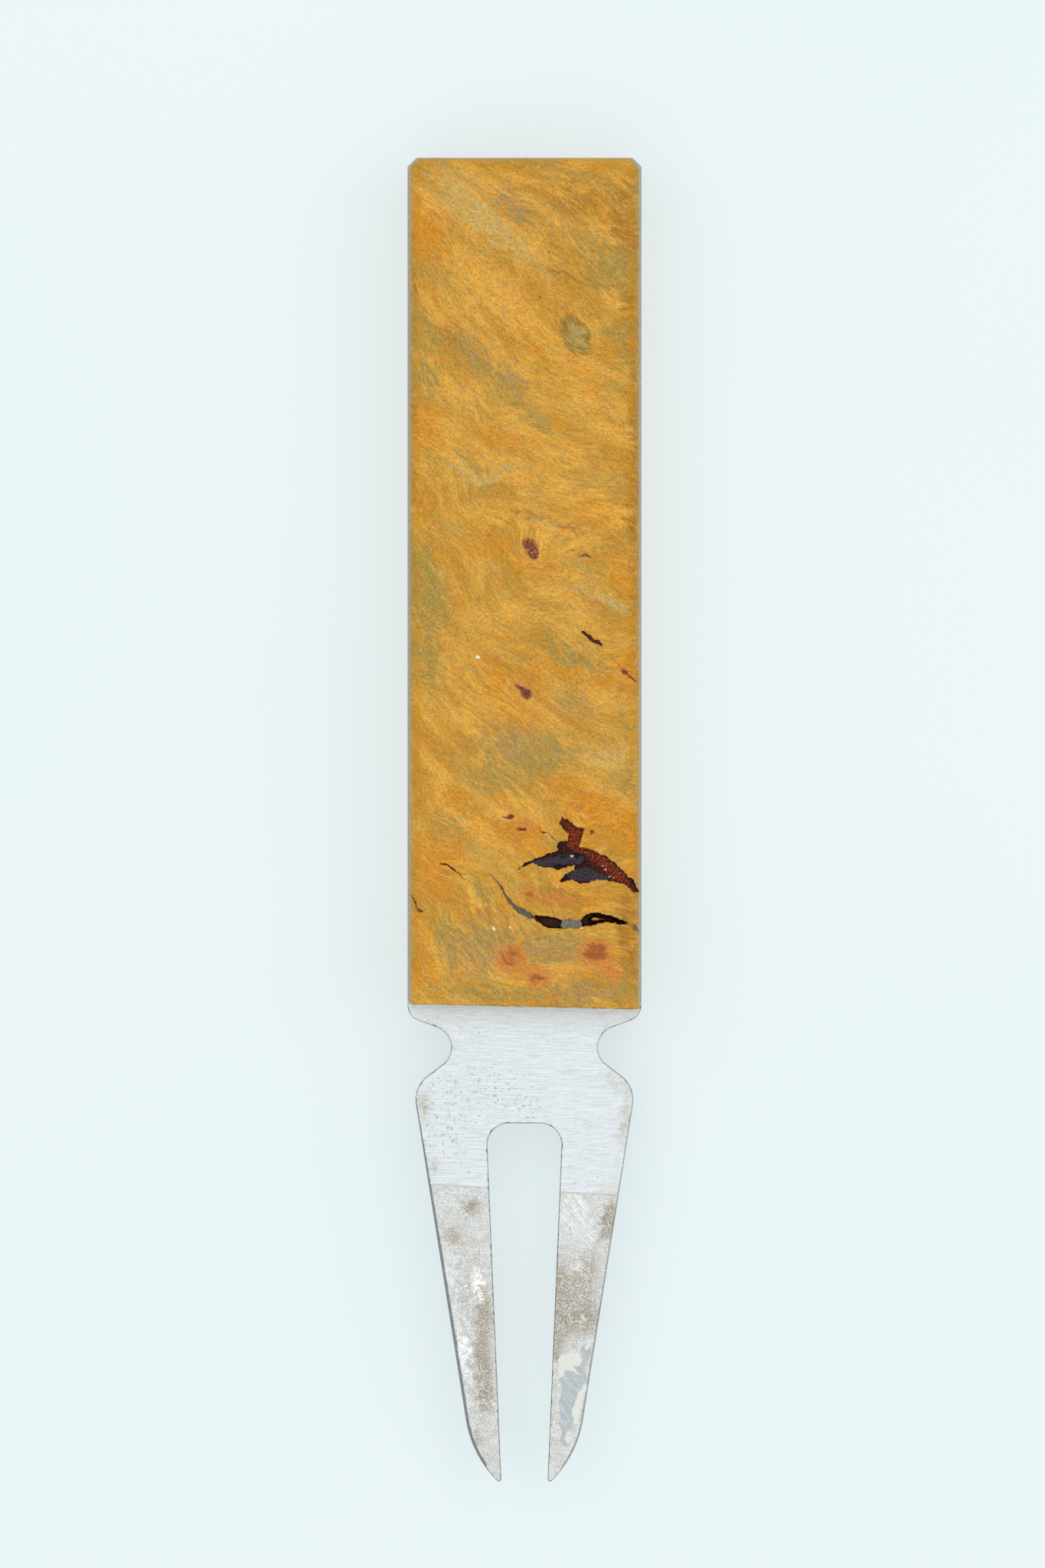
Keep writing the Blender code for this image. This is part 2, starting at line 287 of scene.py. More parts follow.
def flow_group() -> bpy.types.NodeTree:
    """Build the coordinates that follow the wood's fibres.

    Returns:
        The group, with inputs Position, Lift and Seed, and outputs Flow and Wavy. Flow holds the
        distance across the fibres, the distance along them and the depth.
    """
    inputs = {"Position": ORIGIN, "Lift": 0.0, "Seed": 0.0}
    outputs = {"Flow": SocketKind.VECTOR, "Wavy": SocketKind.VECTOR}
    made = GroupTree("Fibre flow", inputs, outputs)
    graph, given = made.graph, made.given
    place = graph.vector("ADD", given["Position"], graph.join(*[given["Seed"]] * 3))
    broad = graph.shake(place, 0.11, 1.0)
    close = graph.shake(place, 0.40, 1.0)
    bent = graph.vector("MULTIPLY_ADD", broad, (6.0, 6.0, 3.0), given["Position"])
    wavy = graph.vector("MULTIPLY_ADD", close, (0.45, 0.45, 0.3), bent)
    x, y, z = graph.split(wavy)
    slope = graph.math("MULTIPLY_ADD", graph.times(x, -0.026), x, y)
    across = graph.math("ADD", graph.math("MULTIPLY_ADD", x, 0.73, slope), given["Lift"])
    along = graph.math("MULTIPLY_ADD", x, 0.8, graph.times(y, -0.6))
    return made.give(Flow=graph.join(across, along, z), Wavy=wavy)


def fibre_group() -> bpy.types.NodeTree:
    """Build hair-fine fibres, broader strands and clouds of colour that follow the flow.

    Returns:
        The group, with input Flow and outputs Hair, Strands and Clouds (three values each).
    """
    outputs = {"Hair": SocketKind.VALUE, "Strands": SocketKind.VECTOR, "Clouds": SocketKind.VECTOR}
    made = GroupTree("Burl fibres", {"Flow": ORIGIN}, outputs)
    graph, flow = made.graph, made.given["Flow"]
    return made.give(
        Hair=graph.noise(graph.vector("MULTIPLY", flow, (6.5, 1.7, 3.0)), 1.0, 4.0, 0.75),
        Strands=graph.drift(graph.vector("MULTIPLY", flow, (2.4, 0.75, 1.0)), 1.0, 5.0),
        Clouds=graph.drift(graph.vector("MULTIPLY", flow, (0.50, 0.20, 0.2)), 1.0, 4.0),
    )


def speck_group() -> bpy.types.NodeTree:
    """Build small scattered dots.

    Returns:
        The group, with inputs Position, Spacing, Radius and Share, and output Mask.
    """
    inputs = {"Position": ORIGIN, "Spacing": 1.0, "Radius": 0.1, "Share": 0.5}
    made = GroupTree("Scattered specks", inputs, {"Mask": SocketKind.VALUE})
    graph, given = made.graph, made.given
    closeness = graph.math("DIVIDE", 1.0, given["Spacing"])
    cells = graph.add("TexVoronoi", feature="F1", voronoi_dimensions="3D")
    graph.feed_named(cells, Vector=graph.vector("SCALE", given["Position"], scale=closeness), Scale=1.0)
    reach = graph.math("DIVIDE", given["Radius"], given["Spacing"])
    near = graph.math("LESS_THAN", cells.outputs["Distance"], reach)
    chosen = graph.math("LESS_THAN", graph.split(cells.outputs["Color"])[0], given["Share"])
    return made.give(Mask=graph.times(near, chosen))


def grinding_group() -> bpy.types.NodeTree:
    """Build the fine parallel lines that a belt leaves across the tool.

    Returns:
        The group, with inputs Position and Turn, and outputs Lines, Scratches and Cloud.
    """
    outputs = {label: SocketKind.VALUE for label in ("Lines", "Scratches", "Cloud")}
    made = GroupTree("Grinding lines", {"Position": ORIGIN, "Turn": 0.0}, outputs)
    graph, given = made.graph, made.given
    turned = graph.turned(given["Position"], given["Turn"])
    fine = graph.vector("MULTIPLY", turned, (0.42, 11.0, 3.0))
    coarse = graph.vector("MULTIPLY", turned, (0.15, 7.0, 2.0))
    return made.give(
        Lines=graph.noise(fine, 1.0, 5.0, 0.85),
        Scratches=graph.span(graph.noise(coarse, 1.0, 5.0, 0.85), 0.57, 0.66),
        Cloud=graph.noise(given["Position"], 0.45, 4.0, 0.6),
    )


class SharedGroups:
    """The node groups that the finishes share, each built once."""

    def __init__(self) -> None:
        """Build the groups."""
        self.patch = patch_group()
        self.flow = flow_group()
        self.fibre = fibre_group()
        self.speck = speck_group()
        self.grinding = grinding_group()


@dataclass(frozen=True)
class Patch:
    """A soft oval of colour on the tool, turned by some degrees."""

    x: float
    y: float
    along: float
    across: float
    turn: float = 0.0
    strength: float = 1.0


Patches = tuple[Patch, ...]


def ovals(*rows: tuple[float, ...]) -> Patches:
    """Make patches of rows that hold x, y, along, across, turn and strength."""
    return tuple(Patch(*row) for row in rows)


class Surface:
    """A material in the making, and the coat of colour laid on it so far."""

    def __init__(self, name: str, groups: SharedGroups) -> None:
        """Start a material.

        Args:
            name: Its name.
            groups: The shared node groups.
        """
        self.material = bpy.data.materials.new(name)
        self.material.use_nodes = True
        self.groups = groups
        self.graph = Graph(self.material.node_tree)
        where = self.graph.add("TexCoord").outputs["Object"]
        self.place = self.graph.vector("SCALE", where, scale=1 / MM)
        self.coat: Socket | None = None

    def base(self, mask: Socket, low: Colour, high: Colour) -> None:
        """Start the coat with a mix of two colours."""
        self.coat = self.graph.mix(mask, low, high)

    def over(self, mask: object, colour: object, blend: str = "MIX") -> None:
        """Lay a colour over the coat where a mask lets it show."""
        self.coat = self.graph.mix(mask, self.coat, colour, blend)

    def fade(self, value: Socket, low: float, high: float, colour: object, most: float = 1.0) -> None:
        """Lay a colour that fades in as a value rises from low to high, to a share of most."""
        self.over(self.graph.span(value, low, high, 0.0, most), colour)

    def moved(self, shake: Socket, reach: float) -> Socket:
        """Return the place moved across the face by a shaking vector."""
        return self.graph.vector("MULTIPLY_ADD", shake, (reach, reach, 0.0), self.place)

    def sum_of(self, patches: Sequence[Patch], place: Socket) -> Socket:
        """Add up soft ovals.

        Args:
            patches: The ovals, one at least.
            place: Where to read them.

        Returns:
            The sum of their masks.
        """
        graph = self.graph
        total: Socket | None = None
        for patch in patches:
            oval = graph.group(
                self.groups.patch,
                Position=place,
                Centre=(patch.x, patch.y, 0.0),
                Size=(patch.along, patch.across, THROUGH),
                Turn=-math.radians(patch.turn),
            )
            mask = graph.times(oval.outputs[0], patch.strength)
            total = mask if total is None else graph.math("ADD", total, mask)
        return total

    def mask(
        self, patches: Sequence[Patch], place: Socket, low: float, high: float, most: float = 1.0
    ) -> Socket:
        """Make a mask of soft ovals.

        Args:
            patches: The ovals, one at least.
            place: Where to read them.
            low: Sum of the ovals at which the mask begins.
            high: Sum at which it is full.
            most: Its value where it is full.

        Returns:
            The mask.
        """
        return self.graph.span(self.sum_of(patches, place), low, high, 0.0, most)

    def mark(self, patches: Sequence[Patch], place: Socket, low: float, high: float, colour: Colour) -> None:
        """Lay a colour on ovals, if there are any."""
        if patches:
            self.over(self.mask(patches, place, low, high), colour)

    def specks(
        self, spacing: float, radius: float, share: float, colour: Colour, strength: object = 1.0,
        place: Socket | None = None,
    ) -> None:
        """Scatter small dots of a colour.

        Args:
            spacing: Distance between places where a dot may be.
            radius: Radius of a dot.
            share: Share of the places that hold one.
            colour: Their colour.
            strength: How well they cover.
            place: Where to read them, if not straight from the surface.
        """
        settings = {"Position": place or self.place, "Spacing": spacing, "Radius": radius, "Share": share}
        dots = self.graph.group(self.groups.speck, **settings).outputs[0]
        self.over(dots if strength == 1.0 else self.graph.times(dots, strength), colour)

    def finish(
        self, roughness: object, height: Socket | None, depth: float, strength: float, **others: object
    ) -> bpy.types.Material:
        """Feed the shader.

        Args:
            roughness: Its roughness.
            height: The relief's height, 0 to 1, or None for a flat surface.
            depth: How deep a height of 1 is.
            strength: The relief's strength.
            others: More inputs of the shader by name (a space is written _).

        Returns:
            The material.
        """
        if height is not None:
            bump = self.graph.add("Bump")
            self.graph.feed_named(bump, Strength=strength, Distance=depth * MM, Height=height)
            others["Normal"] = bump.outputs[0]
        shader = self.material.node_tree.nodes["Principled BSDF"]
        self.graph.feed_named(shader, Base_Color=self.coat, Roughness=roughness, **others)
        return self.material


# ---------------------------------------------------------------------------
# Finishes
# ---------------------------------------------------------------------------


@dataclass(frozen=True)
class Finish:
    """A finish that can be made into a material."""

    def paint(self, surface: Surface) -> bpy.types.Material:
        """Lay the finish on a surface and return its material."""
        raise NotImplementedError

    def material(self, name: str, groups: SharedGroups) -> bpy.types.Material:
        """Return the finish as a new material."""
        return self.paint(Surface(name, groups))


@dataclass(frozen=True)
class BurlFigure:
    """Where the burl's colours, eyes and flaws lie on one scale."""

    seed: float
    lift: float
    swells: Patches
    orange: Patches
    bright: Patches
    pale: Patches
    dun: Patches
    olive: Patches
    brown: Patches
    eyes: Patches
    knots: Patches
    cracks: Patches
    rings: Patches = ()
    resin: Patches = ()
    chalk: Patches = ()


FRONT_FIGURE = BurlFigure(
    seed=0.0,
    lift=0.0,
    swells=ovals(
        (4.1, 39.3, 1.8, 1.4, -55, 0.96), (0.45, 22.1, 2.6, 1.8, 0, 1.44),
        (0.1, 10.3, 2.2, 1.6, -40, 0.96), (-3.5, 31, 4, 2.6, 10, 1.56), (4.5, -4.2, 5, 2.6, -25, 1.8),
        (5.8, -10.7, 1.6, 1.2, 0, 0.72), (-1.1, -11.2, 1.2, 1, 0, 0.54), (6.2, 4.8, 2.6, 1.4, 5, 0.9),
        (-5.5, 5, 3.5, 4.5, 30, 1.08),
    ),
    orange=ovals(
        (-8.1, 47.4, 1.3, 2.4, 10), (-5, 45.2, 3.2, 1.5, -45, 0.55), (0, 41.5, 5, 1.8, -50, 0.6),
        (4.5, 36, 3.5, 1.6, -55, 0.55), (-7.6, 32, 1.8, 2, 0, 0.8), (-3.2, 31.4, 2.4, 1.2, -20, 0.5),
        (-7.8, 25.6, 1.6, 1.4, 0, 0.55), (-3, 22.4, 3.6, 1.8, 0, 0.6), (1.5, 20.4, 2.6, 1, 0, 0.6),
        (8.2, 20.2, 1.6, 1.8, 0, 0.5), (-5.4, -2.4, 1.6, 1.2, -30, 0.5), (5, 25.4, 3.4, 1.4, -15, 0.6),
        (-2.6, 11.6, 1.4, 3.4, 25, 0.6), (0.2, 8, 2, 1.4, 0, 0.55), (8.6, 12.4, 1, 2.2, 0, 0.9),
        (5, 1, 2.4, 1.6, -15), (-0.2, -0.9, 2.4, 0.9, 0, 0.8), (8.4, -1, 1.2, 2.4, 20, 0.8),
        (1.6, -2.6, 2.6, 0.6, -12, 0.75), (5.6, -6.6, 3, 0.7, -6, 0.6), (-7.4, -4, 1.8, 3.4, 10, 0.85),
        (-8.2, -12.4, 1.6, 2.2, 0, 0.5), (7, -12.2, 1.2, 0.9, 0, 0.55),
        (-1.5, -6.4, 1.6, 1.2, -30, 0.45),
    ),
    bright=ovals(
        (-4, 44.2, 3.4, 1.7, -45), (-1, 41.6, 3, 1.5, -48, 0.8), (2.4, 38.8, 2.8, 1.4, -50, 0.6),
        (4.6, 34, 3, 1.6, -55, 0.7), (-6, 32, 2.6, 1.2, -15, 0.7), (-3, 24.8, 3.4, 1.2, 0, 0.8),
        (1.8, 18.8, 3, 0.8, -20, 0.5), (6.4, 9.6, 2.4, 1.6, -40, 0.6), (-3.6, 16.6, 2.6, 1, -45, 0.5),
        (-6.8, -12.6, 2, 1.2, -30, 0.4), (2.7, 27.2, 2.4, 1.4, -35, 0.9),
        (-5, 13.8, 2.4, 2.2, -40, 0.5), (0.2, 16.6, 2.2, 1.2, -30, 0.6),
    ),
    dun=ovals(
        (-1, 49.8, 2.6, 1.4, -45, 0.8), (-4.4, 38.2, 2.2, 1.3, -50, 0.6),
        (-0.9, 35.9, 1.8, 1, -50, 0.8), (-1, 5.8, 3, 2.2, 0, 0.75), (2.4, -10.6, 2.8, 1.2),
        (-3.8, -10.4, 2.8, 2.6, 0, 0.8), (0.4, 17, 2.2, 1.2, 0, 0.2), (4, 9.4, 2.2, 1.6, -30, 0.6),
        (4, -14, 4, 1, 0, 0.8),
    ),
    rings=ovals((4.1, 39.35, 1.75, 1.15, -62)),
    pale=ovals(
        (-5.6, 51.2, 3.8, 1.9, -45, 0.6), (-1.4, 47.2, 3, 0.9, -42, 0.8),
        (-3.5, 48.8, 3.4, 1.3, -45, 0.5), (2, 44.2, 2, 0.5, -40, 0.5),
        (0.9, 33.4, 1.8, 0.8, -50, 0.45), (-5.2, 28.6, 1.6, 0.4, -35, 0.9),
        (-2.6, 27.8, 2, 0.4, 5, 0.95), (-2.4, 28.9, 1.8, 0.35, -10, 0.6), (5.8, 18.3, 2.2, 0.35, -22),
        (7.6, 17.4, 1.2, 0.4, -30, 0.8), (3.4, 17.6, 2.4, 0.7, -10, 0.4), (6.2, 5, 1.7, 0.9, -5),
        (8, 5.6, 1, 1.4, 0, 0.4), (-6.2, 14, 2, 0.6, -50, 0.35),
    ),
    olive=ovals(
        (-7.8, 53, 1.6, 0.7, 0, 0.6), (8.8, 51, 0.7, 3.6, 0, 0.4), (1.8, 52.8, 2.6, 0.8, -15, 0.5),
        (7, 44.6, 2.8, 2.2, -10, 0.9), (4.2, 47.4, 2.6, 1.2, -25, 0.45), (7.6, 39.4, 1.2, 1, 0, 0.9),
        (-8.6, 40, 1.4, 3, 15, 0.85), (-4, 37.2, 2.4, 1.2, -50, 0.5), (-1.4, 35, 2.4, 0.9, -50, 0.6),
        (1.2, 32.4, 2, 0.8, -45, 0.75), (-8.2, 35.6, 1.5, 1.6, -30, 0.8),
        (8.4, 36.8, 1.1, 2.6, 0, 0.45), (-5, 29.6, 1.6, 0.7, -40, 0.5), (1.8, 24.3, 2, 0.35, -14, 0.9),
        (-8.4, 20.2, 1.4, 3, 20), (-8, 14.6, 1.6, 4.2, 10, 0.5), (0.6, 5.6, 4.6, 2, 0, 0.7),
        (-0.6, -9.6, 6.4, 1.4, 0, 0.6), (3.4, 13.6, 3, 2, -10, 0.2), (7.8, 6.2, 1.8, 2.8, 0, 0.45),
        (-7.4, 17.4, 2.2, 1.4, -55, 0.5), (-7.9, 12.6, 1.8, 1.5, -50, 0.5),
        (4.2, 13, 2.6, 1, -20, 0.6), (1.6, 15.4, 1.8, 0.8, -45, 0.4), (1.6, 5.2, 2.2, 1.4, 0, 0.5),
        (-2.4, 3, 2.6, 1.2, -10, 0.7), (8.2, 3, 1.3, 1.2, 0, 0.7), (-6.6, 8.8, 2, 1, -45, 0.4),
        (-3, -6.2, 1.8, 0.7, -50, 0.8), (-6.2, -9.6, 1, 2.6, 10, 0.6), (0, -14.2, 8, 0.9, 0, 0.6),
        (2.6, -10.2, 2, 1.2, 0, 0.6), (8.4, -13.2, 1.4, 1.6, 0, 0.6), (-4, -13.4, 2.6, 1.2, -10, 0.45),
        (-2.6, -9.6, 1.8, 0.8, -30, 0.4),
    ),
    brown=ovals(
        (4, 50.6, 3.8, 2.2, -20, 0.55), (-1.3, 46.4, 2.3, 0.22, -32), (2.5, 44.5, 2.6, 0.22, -20),
        (6.2, 43.5, 2, 0.18, -8, 0.8), (-8.6, 41.6, 0.8, 2, 20, 0.4), (-5.8, 39.2, 1.8, 1.4, -40, 0.5),
        (-2.6, 36.2, 2.8, 0.35, -48, 0.6), (-6.5, 26.8, 0.35, 0.2), (0.4, 24.9, 1.8, 0.25, -8, 0.8),
        (3.4, 23.8, 1.4, 0.22, -22, 0.8), (-4.6, 6, 2.6, 1.4, -30, 0.3), (0.6, 2.4, 3, 0.9, -5, 0.4),
        (2.8, -6.3, 2.6, 0.9, -8, 0.8), (8.6, -12, 0.9, 3, 0, 0.8), (8.9, 30, 0.7, 22, 0, 0.7),
        (-9.2, 32, 0.5, 18, 0, 0.5), (-4.4, -9.8, 2.4, 1, -30, 0.3), (5, -13.4, 3.6, 1.2, 0, 0.3),
        (8.2, 46.6, 1.1, 6, 0, 0.7), (8.3, -7.6, 1, 2.2, 0, 0.9), (-2.7, -8, 1.6, 1.4, 0, 0.6),
    ),
    eyes=ovals(
        (5.8, -10.7, 1.35, 1.05, 0, 1.1), (-1.15, -11.2, 1.4, 1.3, 0, 0.8),
        (1.1, -12.9, 1.15, 1, 0, 0.74), (7.3, -12.5, 1.2, 0.9, 0, 0.52), (0.3, -6, 0.55, 0.45, 0, 0.7),
        (2.8, -6.4, 2.4, 0.6, -10, 0.52), (4.5, 0.9, 1.6, 0.4, -30, 0.5), (0, -0.3, 1.8, 0.8, 0, 0.44),
        (8.2, 12.1, 0.9, 0.45, -38, 0.55), (-0.1, 11.2, 1.2, 1.6, 10, 0.34),
    ),
    knots=ovals(
        (0.45, 22.3, 0.75, 0.62, -30), (0.75, 21.6, 0.4, 0.5, 0, 0.9), (0.12, 10.3, 0.52, 0.5),
        (-0.45, 10.8, 0.55, 0.16, -42, 0.9), (4.9, 21.45, 0.75, 0.13, -12, 0.85),
        (3.8, 21.9, 0.5, 0.09, -12, 0.6), (6.9, 13.4, 0.8, 0.08, -45, 0.5),
        (7.6, 12.6, 0.6, 0.08, -42, 0.45), (8.1, 12, 0.36, 0.3, 0, 0.75),
        (8.75, 11.5, 0.6, 0.12, -38, 0.8), (-1.15, 0.32, 0.36, 0.26), (-1.6, 0.2, 0.22, 0.12, 0, 0.7),
        (-0.2, -0.65, 0.4, 0.13, 5), (5.5, -1, 0.26, 0.3, 0, 0.95), (1.15, -12.85, 0.18, 0.15, 0, 0.5),
        (-3, 23.2, 0.5, 0.12, -10, 0.5), (1.3, 42.4, 0.12, 0.12, 0, 0.8),
    ),
    cracks=ovals(
        (4.85, 15.2, 0.36, 0.15, -40), (5.45, 14.75, 0.5, 0.21, -38), (6, 14.35, 0.45, 0.17, -42),
        (-6.5, -3.6, 0.45, 0.1, -28), (-5.9, -3.95, 0.42, 0.11, -32),
        (-5.2, -4.45, 0.55, 0.05, -38, 0.7), (-9.15, -6.2, 0.5, 0.07, -62, 0.9),
        (-8.75, -6.95, 0.45, 0.09, -58), (-8.5, -7.35, 0.28, 0.14, -40),
        (1.5, -1, 0.5, 0.06, -15, 0.8), (2.3, -1.5, 0.5, 0.06, -50, 0.8), (-0.1, -0.75, 0.3, 0.08, 4),
        (0.9, -8.05, 0.5, 0.1, -40, 0.9),
    ),
    resin=ovals(
        (-2.5, -4.7, 1, 0.1, -52, 0.8), (-1.75, -5.7, 0.9, 0.13, -62, 0.9),
        (-1.1, -6.7, 0.8, 0.16, -55, 0.95), (-0.35, -7.3, 0.7, 0.26, -30),
        (0.45, -7.75, 0.65, 0.28, -32), (8.4, -8.4, 0.9, 0.22, -32), (9.1, -8.9, 0.5, 0.18, -38),
    ),
    chalk=ovals(
        (-3.8, 13.2, 0.18, 0.14), (-2.5, -8.8, 0.16, 0.13), (-1.2, -8.8, 0.09, 0.09, 0, 0.9),
        (4.6, -8.8, 0.1, 0.1, 0, 0.9),
    ),
)

REAR_FIGURE = BurlFigure(
    seed=37.0,
    lift=6.0,
    swells=ovals(
        (-2.5, 36, 3, 2.2, 20, 1.56), (3.8, 12, 3.2, 2.4, -20, 1.68), (-3, -6, 2.2, 1.8, 0, 1.2),
    ),
    orange=ovals(
        (4, 45, 4, 2, -40, 0.7), (-4, 24, 4, 1.8, -45, 0.7), (5, 3, 3, 1.8, -30, 0.7),
        (-5, -9, 2.6, 1.6, -30, 0.6),
    ),
    bright=ovals((0, 46, 3.6, 1.4, -40, 0.8), (2, 8, 3.6, 1.4, -40, 0.8)),
    pale=ovals((-5, 48, 3, 0.8, -40, 0.7), (3, 20, 2.8, 0.5, -30, 0.8)),
    dun=ovals((-1, 26, 2.6, 1.6, -40, 0.8), (4, -4, 2.8, 1.6, -20, 0.8)),
    olive=ovals(
        (-6, 40, 2.4, 2, -40, 0.8), (4, 30, 3, 1.6, -35, 0.8), (-3, 4, 3.4, 1.6, -30, 0.8),
        (5, -10, 2.4, 1.6, -20, 0.7),
    ),
    brown=ovals((2, 38, 3, 0.3, -38, 0.7), (-4, 12, 3, 0.3, -40, 0.7)),
    eyes=ovals((-3, -6, 1, 0.8, 0, 0.9), (-0.6, -8.4, 0.7, 0.6, 0, 0.8)),
    knots=ovals((-2.5, 36, 0.8, 0.6, 20), (3.8, 12, 0.6, 0.5)),
    cracks=ovals((4.6, 11.2, 0.9, 0.07, -40, 0.9), (-1.4, 35, 0.9, 0.07, -42, 0.8)),
)


@dataclass(frozen=True)
class BurlFinish(Finish):
    """Dyed and waxed burl wood: hair-fine fibres that swirl round eyes, knots and cracks."""

    figure: BurlFigure
    amber: Colour = srgb(206, 149, 43)
    honey: Colour = srgb(238, 176, 66)
    warm: Colour = srgb(224, 144, 16)
    rosy: Colour = srgb(212, 138, 66)
    straw: Colour = srgb(218, 179, 96)
    moss: Colour = srgb(180, 148, 64)
    umber: Colour = srgb(182, 124, 30)
    dun: Colour = srgb(184, 147, 80)
    ring: Colour = srgb(132, 108, 44)
    ring_heart: Colour = srgb(184, 160, 84)
    eye: Colour = srgb(166, 88, 38)
    halo: Colour = srgb(222, 138, 56)
    gilt: Colour = srgb(206, 138, 12)
    hollow_brown: Colour = srgb(118, 64, 18)
    raised: Colour = (1.16, 1.17, 1.22, 1.0)
    sunken: Colour = (0.72, 0.67, 0.56, 1.0)
    cool_tint: Colour = (0.91, 1.0, 1.42, 1.0)
    warm_tint: Colour = (1.08, 0.98, 0.66, 1.0)
    knot: Colour = srgb(112, 52, 38)
    crack: Colour = srgb(66, 22, 14)
    resin_stain: Colour = srgb(94, 86, 66)
    chalk: Colour = srgb(244, 238, 220)
    # worn: painted sheen, the paler colour of light reflected by the rounded edges
    worn: Colour = srgb(188, 160, 104)
    hollow: Colour = srgb(36, 18, 12)

    def paint(self, surface: Surface) -> bpy.types.Material:
        """Lay zones of colour, strands, eyes, fibres, small flaws, a painted sheen on the rounded edges and
        the darkened hollows.

        Args:
            surface: The surface.

        Returns:
            The material.
        """
        graph, figure, place = surface.graph, self.figure, surface.place
        flow = graph.group(surface.groups.flow, Position=place, Lift=figure.lift, Seed=figure.seed)
        across, along, depth = graph.split(flow.outputs["Flow"])
        bent = graph.math("ADD", across, surface.sum_of(figure.swells, place))
        fibres = graph.group(surface.groups.fibre, Flow=graph.join(bent, along, depth))
        hair = fibres.outputs["Hair"]
        strand, red_strand, pale_strand = graph.split(fibres.outputs["Strands"])
        shake = graph.shake(place, 1.6, 3.0)
        rough_place = surface.moved(shake, 0.5)
        self.lay_zones(surface, surface.moved(shake, 1.9), fibres.outputs["Clouds"], strand)
        if figure.rings:
            ring = surface.sum_of(figure.rings, rough_place)
            ring = graph.times(ring, graph.span(pale_strand, 0.36, 0.64, 0.75, 1.25))
            surface.fade(ring, 0.25, 0.5, self.ring, 0.75)
            surface.fade(ring, 0.5, 0.85, self.ring_heart, 0.85)
        surface.fade(strand, 0.50, 0.68, self.moss, 0.4)
        surface.fade(red_strand, 0.51, 0.70, self.rosy, 0.42)
        surface.fade(pale_strand, 0.52, 0.70, self.straw, 0.35)
        eyes = surface.sum_of(figure.eyes, rough_place)
        eyes = graph.times(eyes, graph.span(red_strand, 0.36, 0.64, 0.8, 1.15))
        surface.fade(eyes, 0.15, 0.50, self.halo, 0.8)
        surface.fade(eyes, 0.46, 0.85, self.eye, 0.85)

        grain = graph.noise(place, 6.0, 4.0, 0.8)
        tone = graph.math("ADD", graph.times(hair, 0.42), graph.times(grain, 0.58))
        surface.over(1.0, graph.mix(graph.span(tone, 0.39, 0.61), self.raised, self.sunken), "MULTIPLY")
        freckle = graph.span(graph.noise(place, 2.0, 6.0, 0.85), 0.38, 0.62)
        surface.over(1.0, graph.mix(freckle, self.cool_tint, self.warm_tint), "MULTIPLY")
        knots = surface.mask(figure.knots, rough_place, 0.22, 0.75)
        surface.over(graph.times(knots, graph.span(tone, 0.38, 0.52, 0.45, 1.0)), self.knot)
        surface.mark(figure.resin, rough_place, 0.34, 0.9, self.resin_stain)
        surface.mark(figure.cracks, rough_place, 0.35, 0.6, self.crack)
        surface.specks(1.5, 0.09, 0.16, self.eye, 0.7, flow.outputs["Wavy"])
        surface.specks(1.2, 0.055, 0.10, self.chalk, 0.6)
        surface.mark(figure.chalk, rough_place, 0.4, 0.5, self.chalk)
        self.lay_edges_and_hollows(surface, grain)
        height = graph.math("MULTIPLY_ADD", strand, 0.6, tone)
        rough = graph.span(hair, 0.2, 0.8, 0.46, 0.60)
        return surface.finish(rough, height, 0.02, 0.7, Specular_IOR_Level=0.2)

    def lay_zones(self, surface: Surface, place: Socket, clouds: Socket, strand: Socket) -> None:
        """Lay the broad zones of colour, frayed by the strands.

        Args:
            surface: The surface.
            place: Where to read the zones.
            clouds: Three cloudy values.
            strand: The strands.
        """
        graph, figure = surface.graph, self.figure
        first, second, third = graph.split(clouds)
        surface.base(graph.span(first, 0.36, 0.62), self.amber, self.honey)
        surface.fade(second, 0.50, 0.70, self.warm, 0.6)
        surface.fade(third, 0.50, 0.70, self.moss, 0.6)
        frayed = graph.math("MULTIPLY_ADD", graph.span(strand, 0.36, 0.64), 1.0, 0.6)
        for patches, colour, low, high in (
            (figure.orange, self.warm, 0.1, 1.0),
            (figure.bright, self.honey, 0.1, 1.0),
            (figure.brown, self.umber, 0.1, 1.0),
            (figure.olive, self.moss, 0.1, 1.0),
            (figure.dun, self.dun, 0.1, 1.0),
            (figure.pale, self.straw, 0.15, 1.1),
        ):
            zone = graph.times(surface.sum_of(patches, place), frayed)
            surface.over(graph.span(zone, low, high), colour)

    def lay_edges_and_hollows(self, surface: Surface, grain: Socket) -> None:
        """Lay a saturated amber band inside the rounded edges, a paler painted sheen on the edges themselves,
        and darken the hollows; the edges and the hollows are stored on the mesh.

        Args:
            surface: The surface.
            grain: The wood's grain.
        """
        graph = surface.graph
        edge, hollow = graph.attribute("edge"), graph.attribute("hollow")
        patchy = graph.noise(surface.place, 0.6, 4.0, 0.6)
        rich = graph.times(graph.span(edge, 0.05, 0.35), graph.span(edge, 0.85, 0.45))
        surface.over(graph.times(rich, graph.span(patchy, 0.4, 0.65, 0.0, 0.6)), self.gilt)
        # painted sheen: a paler colour on the rounded edges, broken up in patches
        worn = graph.times(graph.span(edge, 0.55, 1.0), graph.span(patchy, 0.3, 0.7, 0.3, 0.8))
        surface.over(worn, self.worn)
        # colours that darken as a hollow deepens
        surface.fade(hollow, 0.05, 0.5, self.hollow_brown)
        deep_hollow_colour = graph.mix(graph.span(grain, 0.50, 0.60), self.hollow, self.hollow_brown)
        surface.fade(hollow, 0.35, 0.8, deep_hollow_colour)


